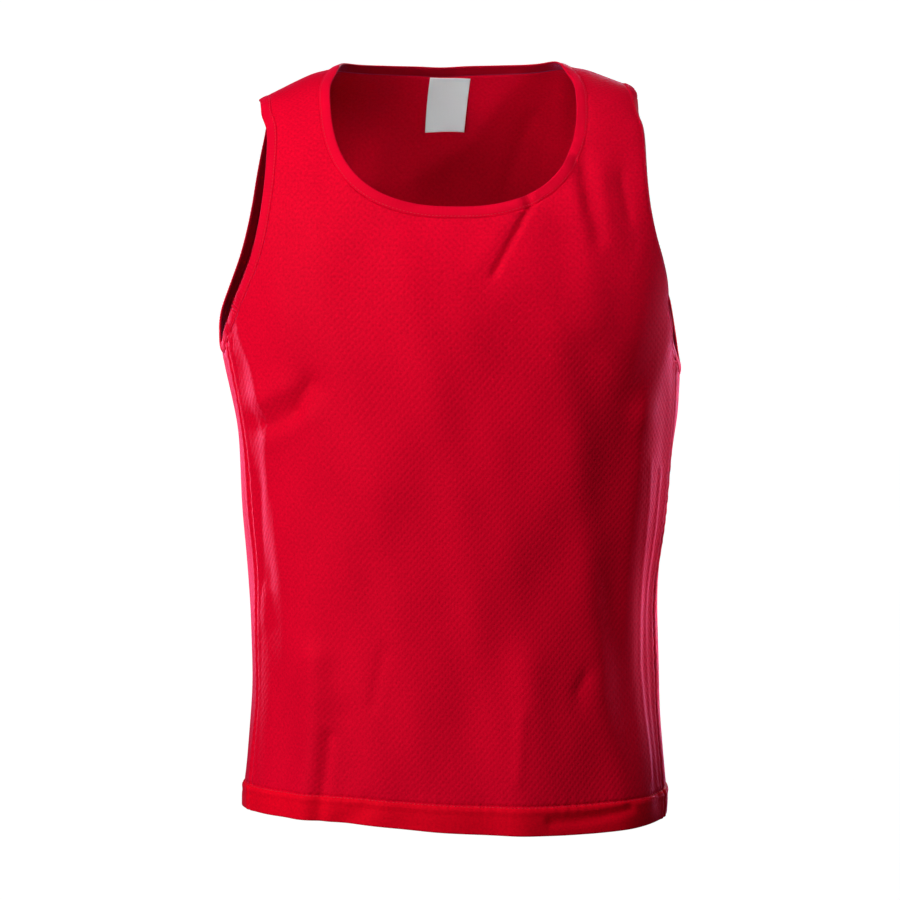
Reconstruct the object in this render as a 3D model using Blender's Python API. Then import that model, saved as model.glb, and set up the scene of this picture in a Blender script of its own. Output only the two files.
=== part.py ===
"""A sleeveless training bib of light mesh cloth, filled out and hollow, held at its shoulders.

The cloth is one form, and a place on it has two measures, both in metres:
    around  along the cloth from the front centre to the back centre, positive towards +X
    height  up the cloth: equal to z on the body, and running on over the shoulder
form() turns the two into a point. A panel is a net of such places between its own edges,
given a wall along the form's normal. A binding is a tape carried round the panels' edges.
The front faces -Y, +Z is up, and the origin lies between the shoulders that hold the bib.
"""

import math
from collections import namedtuple

import bpy
import numpy as np

# Cloth, in metres
WALL = 0.0014
HEM_WALL = 0.0026
HEM_DEPTH = 0.025
HEM_STEP = 0.002
SEAM_GAP = 0.0003
TAPE_WIDTH = 0.0098
TAPE_THICKNESS = 0.0024
TAPE_RISE = 0.0005

# Form
HEM_HEIGHT = -0.655
SQUARENESS = 2.3
SIDE_SEAM = 0.221
SHOULDER_ROLL = 0.13
SHOULDER_SLOPE = 0.46
SHOULDER_SOFT = 0.05
SHOULDER_TILT = 1.0
SHOULDER_FADE = 0.05

# Neckline, at the panels' edges
NECK_HALF_WIDTH = 0.115
NECK_WIDEST = -0.027
NECK_FRONT = -0.130
NECK_BACK = -0.005
NECK_SQUARENESS = 2.5
NECK_BACK_CURVE = 3.0

LABEL_WIDTH = 0.035
LABEL_LENGTH = 0.055
LABEL_DROP = 0.0005
LABEL_SHIFT = 0.0035
LABEL_TILT = 0.07
LABEL_THICKNESS = 0.001
LABEL_LIFT = 0.003

# Level cuts through the form. Above the last one its width stays the same.
Section = namedtuple("Section", "height middle half_width front_depth back_depth")
SECTIONS = (
    Section(-0.700, 0.0035, 0.1900, 0.122, 0.116),
    Section(-0.655, 0.0038, 0.1885, 0.121, 0.114),
    Section(-0.600, 0.0048, 0.1830, 0.119, 0.110),
    Section(-0.550, 0.0043, 0.1792, 0.117, 0.106),
    Section(-0.505, 0.0034, 0.1782, 0.116, 0.102),
    Section(-0.450, 0.0036, 0.1800, 0.117, 0.100),
    Section(-0.400, 0.0045, 0.1845, 0.120, 0.102),
    Section(-0.340, 0.0056, 0.1900, 0.124, 0.108),
    Section(-0.290, 0.0040, 0.1955, 0.126, 0.113),
    Section(-0.240, 0.0005, 0.2010, 0.126, 0.117),
    Section(-0.180, 0.0000, 0.2020, 0.121, 0.117),
    Section(-0.120, 0.0000, 0.2020, 0.109, 0.112),
    Section(-0.060, 0.0000, 0.2020, 0.096, 0.102),
    Section(0.000, 0.0000, 0.2020, 0.088, 0.092),
    Section(0.060, 0.0000, 0.2020, 0.084, 0.088),
)

# The hem's edge rises by this much above HEM_HEIGHT, and the lift dies out by the waist.
HemPoint = namedtuple("HemPoint", "around lift")
HEM_LINE = (
    HemPoint(-0.514, 0.003),
    HemPoint(-0.400, 0.005),
    HemPoint(-0.300, 0.008),
    HemPoint(-0.221, 0.011),
    HemPoint(-0.110, 0.013),
    HemPoint(-0.012, 0.006),
    HemPoint(0.060, 0.000),
    HemPoint(0.130, 0.001),
    HemPoint(0.221, 0.003),
    HemPoint(0.300, 0.003),
    HemPoint(0.400, 0.001),
    HemPoint(0.514, 0.003),
)
HEM_LIFT_ENDS = -0.500

# An armhole is an egg whose lowest point lies behind the side seam. Its narrowest places are
# measured from the centres of the front and of the back, and its shoulder tip from x = 0.
Armhole = namedtuple("Armhole", "low_around low narrow_front narrow_back narrow tip_x squareness")
ARMHOLES = {
    "left": Armhole(0.248, -0.250, 0.1565, 0.1575, -0.050, 0.1560, 1.8),
    "right": Armhole(0.250, -0.270, 0.1600, 0.1590, -0.050, 0.1520, 1.8),
}

# The largest folds: ridges (+) and troughs (-) from a low end to a high end, with their
# half-width, their rise, and how far their middle bows from a straight line.
# Around is measured from the centre of the fold's own panel.
Fold = namedtuple("Fold", "panel around_low low around_high high half_width rise bow")
FOLDS = (
    Fold("front", 0.020, -0.190, 0.062, -0.112, 0.013, -0.0045, 0.000),
    Fold("front", 0.113, -0.170, 0.105, -0.085, 0.013, -0.0045, 0.000),
    Fold("front", 0.150, -0.155, 0.143, -0.085, 0.012, -0.0030, 0.000),
    Fold("front", -0.195, -0.306, -0.122, -0.270, 0.014, -0.0055, 0.009),
    Fold("front", -0.180, -0.280, -0.150, -0.272, 0.013, 0.0040, 0.000),
    Fold("front", -0.144, -0.670, -0.134, -0.510, 0.019, 0.0045, 0.000),
    Fold("front", -0.106, -0.670, -0.114, -0.560, 0.018, -0.0030, 0.000),
    Fold("front", 0.054, -0.670, 0.063, -0.515, 0.019, 0.0030, 0.000),
    Fold("front", 0.100, -0.548, 0.128, -0.500, 0.015, -0.0035, 0.000),
    Fold("back", -0.104, -0.670, -0.072, -0.430, 0.024, 0.0050, 0.006),
    Fold("back", -0.052, -0.670, -0.030, -0.500, 0.021, -0.0035, 0.000),
    Fold("back", 0.070, -0.670, 0.095, -0.470, 0.023, -0.0045, -0.005),
    Fold("back", 0.168, -0.670, 0.150, -0.500, 0.023, 0.0040, 0.000),
    Fold("back", -0.240, -0.315, -0.150, -0.245, 0.016, -0.0055, 0.008),
    Fold("back", 0.245, -0.330, 0.160, -0.260, 0.016, -0.0050, -0.008),
    Fold("back", -0.090, -0.170, -0.055, -0.075, 0.015, -0.0030, 0.000),
)

# How finely a panel's net is cut: columns across its parts from the side seam in, and rows
# up its parts from the hem. The parts meet at corners: heights on the armhole, and a share of
# the neckline's half, from its middle, below which the centre's columns are CENTRE_SHARE as wide.
NetSize = namedtuple("NetSize", "side strap centre hem body chest shoulder")
NET_SIZES = {"front": NetSize(2, 9, 14, 2, 19, 4, 7), "back": NetSize(5, 7, 14, 2, 15, 7, 4)}
ARMHOLE_CORNER = {"front": -0.200, "back": -0.205}
CHEST_CORNER = {"front": -0.100, "back": -0.030}
NECK_CORNER = {"front": 0.42, "back": 0.55}
CENTRE_SHARE = 0.9
LABEL_COLUMNS, LABEL_ROWS = 4, 5
SHARP_ANGLE = math.radians(50)
SHORT_WAY = 0.0008

Finish = namedtuple("Finish", "colour roughness metallic")
MESH_CLOTH = Finish((0.62, 0.004, 0.030), 0.75, 0.0)
TAPE_CLOTH = Finish((0.78, 0.004, 0.035), 0.65, 0.0)
LABEL_CLOTH = Finish((0.62, 0.62, 0.66), 0.60, 0.0)


def smooth(at, table, start, column):
    """A smooth line through two columns of a table: a cubic between rows, with shared slopes."""
    rows = np.array([getattr(row, start) for row in table])
    values = np.array([getattr(row, column) for row in table])
    slopes = np.gradient(values, rows)
    low = np.clip(np.searchsorted(rows, at) - 1, 0, len(rows) - 2)
    step = rows[low + 1] - rows[low]
    t = np.clip((at - rows[low]) / step, 0.0, 1.0)
    leaving = (1 + 2 * t) * (1 - t) ** 2 * values[low] + t * (1 - t) ** 2 * step * slopes[low]
    arriving = t**2 * (3 - 2 * t) * values[low + 1] - t**2 * (1 - t) * step * slopes[low + 1]
    return leaving + arriving


def unit(vectors):
    return vectors / np.linalg.norm(vectors, axis=-1, keepdims=True)


def bent(value):
    """The squared-off sine or cosine of a superellipse."""
    return np.sign(value) * np.abs(value) ** (2 / SQUARENESS)


def cloth_round_chest():
    """Turns from front centre to back centre, and the length of cloth up to each at the chest."""
    chest = max(SECTIONS, key=lambda row: row.front_depth)
    turns = np.linspace(0.0, math.pi, 4001)
    x = chest.half_width * bent(np.sin(turns))
    depth = np.where(turns < math.pi / 2, chest.front_depth, chest.back_depth)
    y = -depth * bent(np.cos(turns))
    steps = np.hypot(np.diff(x), np.diff(y))
    return turns, np.concatenate([[0.0], np.cumsum(steps)])


TURNS, LENGTHS = cloth_round_chest()
HALF_GIRTH = LENGTHS[-1]


def wrapped(around):
    """The same place with around between the back centre's two values."""
    return (around + HALF_GIRTH) % (2 * HALF_GIRTH) - HALF_GIRTH


def from_centre(around, panel):
    """The same place measured from the centre of a panel, still positive towards +X."""
    around = wrapped(around)
    return around if panel == "front" else np.where(around < 0, -HALF_GIRTH, HALF_GIRTH) - around


def shoulder_line(x):
    """Height of the shoulder's crest at x: a soft roof, a little higher on the right."""
    run = np.hypot(x, SHOULDER_SOFT) - math.hypot(NECK_HALF_WIDTH, SHOULDER_SOFT)
    return SHOULDER_TILT * x**3 - SHOULDER_SLOPE * run


def crest(x):
    """The shoulder line as a height up the cloth, which climbs a quarter turn of the roll."""
    return shoulder_line(x) + SHOULDER_ROLL * (math.pi / 2 - 1)


def width_at(around, height):
    around = wrapped(around)
    turn = np.sign(around) * np.interp(np.abs(around), LENGTHS, TURNS)
    middle = smooth(height, SECTIONS, "height", "middle")
    return turn, middle + smooth(height, SECTIONS, "height", "half_width") * bent(np.sin(turn))


def form(around, height):
    """The bare form: a superellipse at each height, whose depth closes to nothing at the crest."""
    turn, x = width_at(around, height)
    roll_start = shoulder_line(x) - SHOULDER_ROLL
    roll = np.maximum((height - roll_start) / SHOULDER_ROLL, 0.0)
    z = np.where(roll > 0, roll_start + SHOULDER_ROLL * np.sin(roll), height)
    front = smooth(z, SECTIONS, "height", "front_depth")
    back = smooth(z, SECTIONS, "height", "back_depth")
    facing = np.cos(turn)
    y = -np.where(facing > 0, front, back) * bent(facing) * np.cos(roll)
    return np.stack([x, y, z], axis=-1)


def normals(surface, around, height):
    """Outward unit normals, from how the surface changes a short way around and up."""
    across = surface(around + SHORT_WAY, height) - surface(around - SHORT_WAY, height)
    up = surface(around, height + SHORT_WAY) - surface(around, height - SHORT_WAY)
    return unit(np.cross(across, up))


def fold_rise(around, height):
    """Sum of the folds, each a soft bank across a bowed line, dying out at the shoulder."""
    total = 0.0
    for fold in FOLDS:
        a = from_centre(around, fold.panel) - fold.around_low
        h = height - fold.low
        run_a = fold.around_high - fold.around_low
        run_h = fold.high - fold.low
        length = math.hypot(run_a, run_h)
        along = (a * run_a + h * run_h) / length**2
        inside = np.clip(along, 0.0, 1.0)
        off = (a * run_h - h * run_a) / length - 4 * fold.bow * inside * (1 - inside)
        beyond = (along - inside) * length
        total = total + fold.rise * np.exp(-(off**2 + beyond**2) / fold.half_width**2)
    _, x = width_at(around, height)
    return total * np.clip((crest(x) - height) / SHOULDER_FADE, 0.0, 1.0)


def outside(around, height):
    """The outer face of the cloth: the form, with its folds raised along its normal."""
    return form(around, height) + normals(form, around, height) * fold_rise(around, height)[..., None]


def place(panel, x, z):
    """Places on a panel, from its centre, that lie at x and z."""
    roll_start = shoulder_line(x) - SHOULDER_ROLL
    rolled = roll_start + SHOULDER_ROLL * np.arcsin(np.clip((z - roll_start) / SHOULDER_ROLL, 0, 1))
    height = np.where(z > roll_start, rolled, z)
    from_middle = np.abs(x - smooth(height, SECTIONS, "height", "middle"))
    share = np.clip(from_middle / smooth(height, SECTIONS, "height", "half_width"), 0.0, 1.0)
    turn = np.arcsin(share ** (SQUARENESS / 2))
    if panel == "front":
        length = np.interp(turn, TURNS, LENGTHS)
    else:
        length = HALF_GIRTH - np.interp(math.pi - turn, TURNS, LENGTHS)
    return np.stack([np.sign(x) * length, height], axis=-1)


def seam_edge(panel):
    """How far a panel's side edge lies from its centre, half a gap short of the seam."""
    return (SIDE_SEAM if panel == "front" else HALF_GIRTH - SIDE_SEAM) - SEAM_GAP / 2


def armhole_edge(panel, side):
    """A panel's part of the egg, from the side seam to the narrowest place, then up to the tip."""
    hole = ARMHOLES[side]
    sign = -1 if side == "left" else 1
    seam = seam_edge(panel)
    narrow = hole.narrow_front if panel == "front" else hole.narrow_back
    turn = np.linspace(-math.pi / 2, math.pi / 2, 1441)
    to_front = hole.low_around - hole.narrow_front
    to_back = HALF_GIRTH - hole.narrow_back - hole.low_around
    bend = 2 / hole.squareness
    reach = np.where(turn < 0, -to_front, to_back) * np.abs(np.sin(turn)) ** bend
    around = hole.low_around + reach
    height = hole.narrow - (hole.narrow - hole.low) * np.cos(turn) ** bend
    if panel == "front":
        around, height = around[::-1], height[::-1]
    else:
        around = HALF_GIRTH - around
    kept = around < seam - SEAM_GAP
    start = [seam, np.interp(-seam, -around, height)]
    tip = place(panel, sign * hole.tip_x, shoulder_line(sign * hole.tip_x))
    rise = np.linspace(0.0, 1.0, 121)[1:]
    upper_around = narrow + (abs(tip[0]) - narrow) * rise**2
    upper_height = hole.narrow + (tip[1] - SEAM_GAP / 2 - hole.narrow) * rise
    lower = np.stack([around[kept], height[kept]], axis=-1)
    line = np.vstack([start, lower, np.stack([upper_around, upper_height], axis=-1)])
    return line * [sign, 1]


def neck_edge(panel, side):
    """From the middle of the neckline to the shoulder seam: half a squared U, or a shallow dip."""
    sign = -1 if side == "left" else 1
    top = shoulder_line(sign * NECK_HALF_WIDTH)
    turn = np.linspace(0.0, math.pi / 2, 241)
    if panel == "back":
        x = NECK_HALF_WIDTH * np.sin(turn)
        z = NECK_BACK + (top - NECK_BACK) * np.sin(turn) ** NECK_BACK_CURVE
    else:
        bend = 2 / NECK_SQUARENESS
        rise = np.linspace(0.0, 1.0, 61)[1:]
        x = NECK_HALF_WIDTH * np.concatenate([np.sin(turn) ** bend, rise**0])
        curve = NECK_WIDEST - (NECK_WIDEST - NECK_FRONT) * np.cos(turn) ** bend
        z = np.concatenate([curve, NECK_WIDEST + (top - NECK_WIDEST) * rise])
    line = place(panel, sign * x, z)
    line[-1, 1] -= SEAM_GAP / 2
    return line


def shoulder_edge(panel, side, count):
    """From the shoulder tip to the neck, half a gap short of the crest."""
    sign = -1 if side == "left" else 1
    x = sign * np.linspace(ARMHOLES[side].tip_x, NECK_HALF_WIDTH, count + 1)
    return place(panel, x, shoulder_line(x)) - [0.0, SEAM_GAP / 2]


def straight(start, end, count):
    return np.linspace(start, end, count + 1)


def evenly(line, count):
    """The line cut into equal lengths."""
    steps = np.linalg.norm(np.diff(line, axis=0), axis=1)
    length = np.concatenate([[0.0], np.cumsum(steps)])
    marks = np.linspace(0.0, length[-1], count + 1)
    return np.stack([np.interp(marks, length, line[:, i]) for i in range(2)], axis=-1)


def patch(bottom, top, left, right):
    """A net between four edges: both its rulings added, less the one through its corners."""
    u = np.linspace(0.0, 1.0, len(bottom))[None, :, None]
    v = np.linspace(0.0, 1.0, len(left))[:, None, None]
    rulings = (1 - v) * bottom + v * top + (1 - u) * left[:, None] + u * right[:, None]
    low = (1 - u) * bottom[0] + u * bottom[-1]
    high = (1 - u) * top[0] + u * top[-1]
    return rulings - (1 - v) * low - v * high


def half_outline(panel, side):
    """One half of a panel: its corners by level, from the side in, and its curved edges."""
    size = NET_SIZES[panel]
    armhole = armhole_edge(panel, side)
    first = np.flatnonzero(armhole[:, 1] < ARMHOLE_CORNER[panel])[-1]
    second = np.flatnonzero(armhole[:, 1] < CHEST_CORNER[panel])[-1]
    neck = neck_edge(panel, side)
    third = round(NECK_CORNER[panel] * (len(neck) - 1))
    edges = {
        "under": evenly(armhole[: first + 1], size.side),
        "chest": evenly(armhole[first : second + 1], size.chest),
        "tip": evenly(armhole[second:], size.shoulder),
        "neck": evenly(neck[: third + 1], size.centre // 2),
        "neck_side": evenly(neck[third:], size.shoulder),
        "shoulder": shoulder_edge(panel, side, size.strap),
    }
    under, inner = edges["under"][-1], edges["neck_side"][0] * [CENTRE_SHARE, 1.0]
    seam = edges["under"][0][0]
    hem_levels = (HEM_HEIGHT, HEM_HEIGHT + HEM_DEPTH, HEM_HEIGHT + HEM_DEPTH + HEM_STEP)
    corners = [[(seam, z), (under[0], z), (inner[0], z)] for z in hem_levels]
    corners.append([edges["under"][0], under, (inner[0], under[1])])
    corners.append([None, edges["tip"][0], edges["neck_side"][0]])
    corners.append([None, edges["tip"][-1], edges["neck_side"][-1]])
    return corners, edges


def panel_net(panel):
    """Places over a panel in rows up it, from its centre. Where neck and armholes cut in, NaN."""
    size = NET_SIZES[panel]
    columns = (size.side, size.strap, size.centre, size.strap, size.side)
    rows = (size.hem, 1, size.body, size.chest, size.shoulder)
    left_corners, left = half_outline(panel, "left")
    right_corners, right = half_outline(panel, "right")
    corners = [one + other[::-1] for one, other in zip(left_corners, right_corners)]
    across = {
        (3, 0): left["under"],
        (3, 4): right["under"][::-1],
        (4, 2): np.vstack([left["neck"][:0:-1], right["neck"]]),
        (5, 1): left["shoulder"],
        (5, 3): right["shoulder"][::-1],
    }
    upright = {
        (3, 1): left["chest"],
        (3, 4): right["chest"],
        (4, 1): left["tip"],
        (4, 2): left["neck_side"],
        (4, 3): right["neck_side"],
        (4, 4): right["tip"],
    }
    column = np.concatenate([[0], np.cumsum(columns)])
    row = np.concatenate([[0], np.cumsum(rows)])
    net = np.full((row[-1] + 1, column[-1] + 1, 2), np.nan)
    for i in range(len(rows)):
        for j in range(len(columns)):
            block = corners[i][j], corners[i][j + 1], corners[i + 1][j], corners[i + 1][j + 1]
            if (i, j) == (4, 2) or any(corner is None for corner in block):
                continue
            net[row[i] : row[i + 1] + 1, column[j] : column[j + 1] + 1] = patch(
                across.get((i, j), straight(block[0], block[1], columns[j])),
                across.get((i + 1, j), straight(block[2], block[3], columns[j])),
                upright.get((i, j), straight(block[0], block[2], rows[i])),
                upright.get((i, j + 1), straight(block[1], block[3], rows[i])),
            )
    return lift_hem(on_form(net, panel))


def on_form(net, panel):
    """Places from a panel's centre as places from the front centre, in the order of around."""
    if panel == "front":
        return net
    return (net * [-1, 1] + [HALF_GIRTH, 0])[:, ::-1]


def lift_hem(net):
    """Raises the net near the hem, so that its edge follows the hem line."""
    share = np.clip((HEM_LIFT_ENDS - net[..., 1]) / (HEM_LIFT_ENDS - HEM_HEIGHT), 0.0, 1.0)
    lifted = net.copy()
    lifted[..., 1] += share**2 * smooth(wrapped(net[..., 0]), HEM_LINE, "around", "lift")
    return lifted


def add_object(name, points, faces, finish):
    """A mesh object with smooth faces and its own material."""
    mesh = bpy.data.meshes.new(name)
    mesh.from_pydata(points.tolist(), [], faces.tolist())
    mesh.shade_smooth()
    mesh.set_sharp_from_angle(angle=SHARP_ANGLE)
    material = bpy.data.materials.new(name)
    material.use_nodes = True
    shader = material.node_tree.nodes["Principled BSDF"]
    shader.inputs["Base Color"].default_value = (*finish.colour, 1.0)
    shader.inputs["Roughness"].default_value = finish.roughness
    shader.inputs["Metallic"].default_value = finish.metallic
    mesh.materials.append(material)
    bpy.context.scene.collection.objects.link(bpy.data.objects.new(name, mesh))


def add_sheet(name, outer, outward, thickness, finish):
    """A closed wall over a net of points: their face, a face further in, and a rim."""
    present = ~np.isnan(outer[..., 0])
    number = np.full(present.shape, -1)
    number[present] = np.arange(present.sum())
    quads = np.stack([number[:-1, :-1], number[:-1, 1:], number[1:, 1:], number[1:, :-1]], axis=-1)
    quads = quads[(quads >= 0).all(axis=-1)]
    outer_points = outer[present]
    inner_points = outer_points - outward[present] * thickness[present][:, None]
    edges = np.concatenate([quads[:, [i, (i + 1) % 4]] for i in range(4)]).tolist()
    shared = {(b, a) for a, b in edges}
    rim = np.array([edge for edge in edges if tuple(edge) not in shared])
    inner_rim = rim + len(outer_points)
    sides = np.stack([rim[:, 1], rim[:, 0], inner_rim[:, 0], inner_rim[:, 1]], axis=-1)
    faces = np.vstack([quads, quads[:, ::-1] + len(outer_points), sides])
    add_object(name, np.vstack([outer_points, inner_points]), faces, finish)


def add_panel(name, net):
    """A panel of single cloth whose lowest rows are the doubled, turned-up hem."""
    around, height = net[..., 0], net[..., 1]
    thickness = np.full(around.shape, WALL)
    thickness[: NET_SIZES[name].hem + 1] = HEM_WALL
    add_sheet(name, outside(around, height), normals(outside, around, height), thickness, MESH_CLOTH)


def taped_edges(panel, net):
    """A panel's edges under a tape: its neckline, and its armholes on the net's first and last
    side, each from the side seam up."""
    size = NET_SIZES[panel]
    first, last = size.side, net.shape[1] - 1 - size.side
    neck_first, neck_last = first + size.strap, last - size.strap
    under = size.hem + 1 + size.body
    chest = under + size.chest
    neck = np.vstack([
        net[:chest:-1, neck_first],
        net[chest, neck_first : neck_last + 1],
        net[chest + 1 :, neck_last],
    ])
    armhole_first = np.vstack([net[under, : first + 1], net[under + 1 :, first]])
    armhole_last = np.vstack([net[under, : last - 1 : -1], net[under + 1 :, last]])
    return neck, armhole_first, armhole_last


def joined(one, other):
    """Two lines of points as one ring. Where they meet, over a seam, it takes their middle."""
    ring = np.vstack([one, other[1:-1]])
    ring[0] = (one[0] + other[-1]) / 2
    ring[len(one) - 1] = (one[-1] + other[0]) / 2
    return ring


def tape_profile():
    """Across the opening and out of the cloth: a flat tape with a rounded folded edge."""
    near, far = SEAM_GAP, SEAM_GAP + TAPE_WIDTH
    top, bottom = TAPE_RISE, TAPE_RISE - TAPE_THICKNESS
    turned = TAPE_THICKNESS / 3
    return np.array([
        (near, bottom),
        (far - turned, bottom),
        (far, bottom + turned),
        (far, top - turned),
        (far - turned, top),
        (near, top),
    ])


def add_tape(name, one, other):
    """A closed tape: its profile carried round two edges that meet, reaching into the opening."""
    edge = joined(outside(*one.T), outside(*other.T))
    outward = joined(normals(outside, *one.T), normals(outside, *other.T))
    ahead = unit(np.roll(edge, -1, axis=0) - edge)
    along = unit(ahead + np.roll(ahead, 1, axis=0))
    inward = unit(np.cross(outward, along))
    if np.sum(inward * (edge.mean(axis=0) - edge)) < 0:
        add_tape(name, one[::-1], other[::-1])
        return
    outward = np.cross(along, inward)
    profile = tape_profile()
    points = edge[:, None] + inward[:, None] * profile[:, :1] + outward[:, None] * profile[:, 1:]
    number = np.arange(len(edge) * len(profile)).reshape(len(edge), len(profile))
    after = np.roll(number, -1, axis=0)
    faces = np.stack([number, np.roll(number, -1, axis=1), np.roll(after, -1, axis=1), after], axis=-1)
    add_object(name, points.reshape(-1, 3), faces.reshape(-1, 4), TAPE_CLOTH)


def between(grid, row, column):
    """Values between a grid's own, at fractions of its rows and columns."""
    low_row, low_column = row.astype(int), column.astype(int)
    v, u = (row - low_row)[..., None], (column - low_column)[..., None]
    below = (1 - u) * grid[low_row, low_column] + u * grid[low_row, low_column + 1]
    above = (1 - u) * grid[low_row + 1, low_column] + u * grid[low_row + 1, low_column + 1]
    return (1 - v) * below + v * above


def add_label(back):
    """A slightly turned rectangle made from the back's points, moved in: close at its sewn top
    and a little off below."""
    across = np.linspace(LABEL_WIDTH / 2, -LABEL_WIDTH / 2, LABEL_COLUMNS + 1)
    down = np.linspace(LABEL_LENGTH, 0.0, LABEL_ROWS + 1)
    across, down = np.meshgrid(across, down)
    size = NET_SIZES["back"]
    top_row = size.hem + 1 + size.body + size.chest
    middle = back.shape[1] // 2
    line = slice(middle - size.centre // 2, middle + size.centre // 2 + 1)
    turned_across = across + LABEL_SHIFT - LABEL_TILT * down
    turned_down = LABEL_DROP + down + LABEL_TILT * (LABEL_WIDTH / 2 + across)
    at_top = from_centre(back[top_row, line, 0], "back")[::-1]
    column = middle + size.centre // 2 - np.interp(turned_across, at_top, np.arange(len(at_top)))
    heights = back[: top_row + 1, middle, 1]
    row = np.interp(heights[-1] - turned_down, heights, np.arange(len(heights)))
    cloth = between(outside(back[..., 0], back[..., 1]), row, column)
    outward = unit(between(normals(outside, back[..., 0], back[..., 1]), row, column))
    depth = WALL + SEAM_GAP + LABEL_LIFT * (down / LABEL_LENGTH) ** 2
    thickness = np.full(depth.shape, LABEL_THICKNESS)
    add_sheet("label", cloth - outward * depth[..., None], outward, thickness, LABEL_CLOTH)


def main():
    for obj in list(bpy.data.objects):
        bpy.data.objects.remove(obj, do_unlink=True)
    front, back = panel_net("front"), panel_net("back")
    add_panel("front", front)
    add_panel("back", back)
    front_neck, front_left, front_right = taped_edges("front", front)
    back_neck, back_right, back_left = taped_edges("back", back)
    add_tape("neck_binding", front_neck, back_neck)
    add_tape("armhole_binding_left", front_left, back_left[::-1])
    add_tape("armhole_binding_right", front_right, back_right[::-1])
    add_label(back)


main()
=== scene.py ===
"""A sleeveless training bib of light red mesh cloth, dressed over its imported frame.

The cloth is one form, and a place on it has two measures, both in metres:
    around  along the cloth from the front centre, positive towards +X
    height  up the cloth: equal to z on the body, and running on over the shoulder
Panels, bindings, label and stitches are surfaces on that form. UV maps are in metres too:
(around, height) on the panels, (along, across) on the bindings and the label. A panel's net is
cut in its own measure from its own centre, and then carried onto the form.
"""

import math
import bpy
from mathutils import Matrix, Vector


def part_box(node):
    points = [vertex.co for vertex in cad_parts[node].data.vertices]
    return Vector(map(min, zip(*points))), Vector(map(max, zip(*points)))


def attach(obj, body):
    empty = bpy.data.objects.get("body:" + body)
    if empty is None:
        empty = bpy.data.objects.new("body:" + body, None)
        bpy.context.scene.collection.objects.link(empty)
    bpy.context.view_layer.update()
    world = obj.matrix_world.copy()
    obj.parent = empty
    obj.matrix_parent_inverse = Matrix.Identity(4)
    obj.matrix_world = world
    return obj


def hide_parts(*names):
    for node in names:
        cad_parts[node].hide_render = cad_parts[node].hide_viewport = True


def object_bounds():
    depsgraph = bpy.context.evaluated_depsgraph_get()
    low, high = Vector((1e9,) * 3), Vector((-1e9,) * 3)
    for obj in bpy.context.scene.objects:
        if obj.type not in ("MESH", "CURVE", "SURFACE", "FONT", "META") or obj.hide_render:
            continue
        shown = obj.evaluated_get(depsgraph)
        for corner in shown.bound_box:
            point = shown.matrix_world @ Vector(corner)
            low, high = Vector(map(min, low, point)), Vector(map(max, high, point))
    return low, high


bl_info = {
    "name": "Training bib",
    "version": (1, 0, 0),
    "blender": (4, 5, 0),
    "location": "View3D > Sidebar > Training bib",
    "description": "A sleeveless training bib of mesh cloth with bindings, hem and label",
    "category": "Add Mesh",
}

from collections import namedtuple

import bpy
import numpy as np
from bpy.props import FloatProperty, FloatVectorProperty, IntProperty, PointerProperty

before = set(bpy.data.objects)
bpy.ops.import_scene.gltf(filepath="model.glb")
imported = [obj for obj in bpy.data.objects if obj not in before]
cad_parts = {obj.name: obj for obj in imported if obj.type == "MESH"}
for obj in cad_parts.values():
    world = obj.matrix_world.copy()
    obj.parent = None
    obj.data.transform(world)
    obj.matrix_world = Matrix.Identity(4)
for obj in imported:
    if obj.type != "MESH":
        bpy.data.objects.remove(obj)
CAD_LOW, CAD_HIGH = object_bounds()
BODY = "root"

# Cloth. All lengths are in metres.
WALL = 0.0014
HEM_WALL = 0.0026
HEM_DEPTH = 0.025
TAPE_WIDTH = 0.0098
TAPE_THICKNESS = 0.0022
TAPE_RISE = 0.0005

# Form
HEM_HEIGHT = -0.660
SQUARENESS = 2.3
SIDE_SEAM = 0.221
SHOULDER_ROLL = 0.13
SHOULDER_SLOPE = 0.46
SHOULDER_SOFT = 0.05
SHOULDER_DROP = 0.0044
SHOULDER_DIP = 0.0030
SHOULDER_DIP_WIDTH = 0.010
SHOULDER_TILT = 1.0
SHOULDER_FADE = 0.05

# Neckline, at the panels' edges
NECK_HALF_WIDTH = 0.115
NECK_WIDEST = -0.027
NECK_FRONT = -0.130
NECK_BACK = -0.0082
NECK_SQUARENESS = 2.5
NECK_BACK_CURVE = 3.0
NECK_TOP_HALF_WIDTH = 0.1045
NECK_DRAWN_IN = 2.5  # the power by which its sides lean in towards the top

LABEL_WIDTH = 0.035
LABEL_LENGTH = 0.055
LABEL_DROP = 0.0005
LABEL_SHIFT = 0.0035
LABEL_TILT = 0.07
LABEL_THICKNESS = 0.0006
LABEL_CLEARANCE = 0.0001
LABEL_CURL = 0.0006
LABEL_FOOT = 0.6  # share of the lift that the whole foot has, and not its corner alone
LABEL_NET = (25, 37)


def rows(kind, *values):
    """A table: rows of values, all of one kind."""
    return tuple(kind(*row) for row in values)


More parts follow.
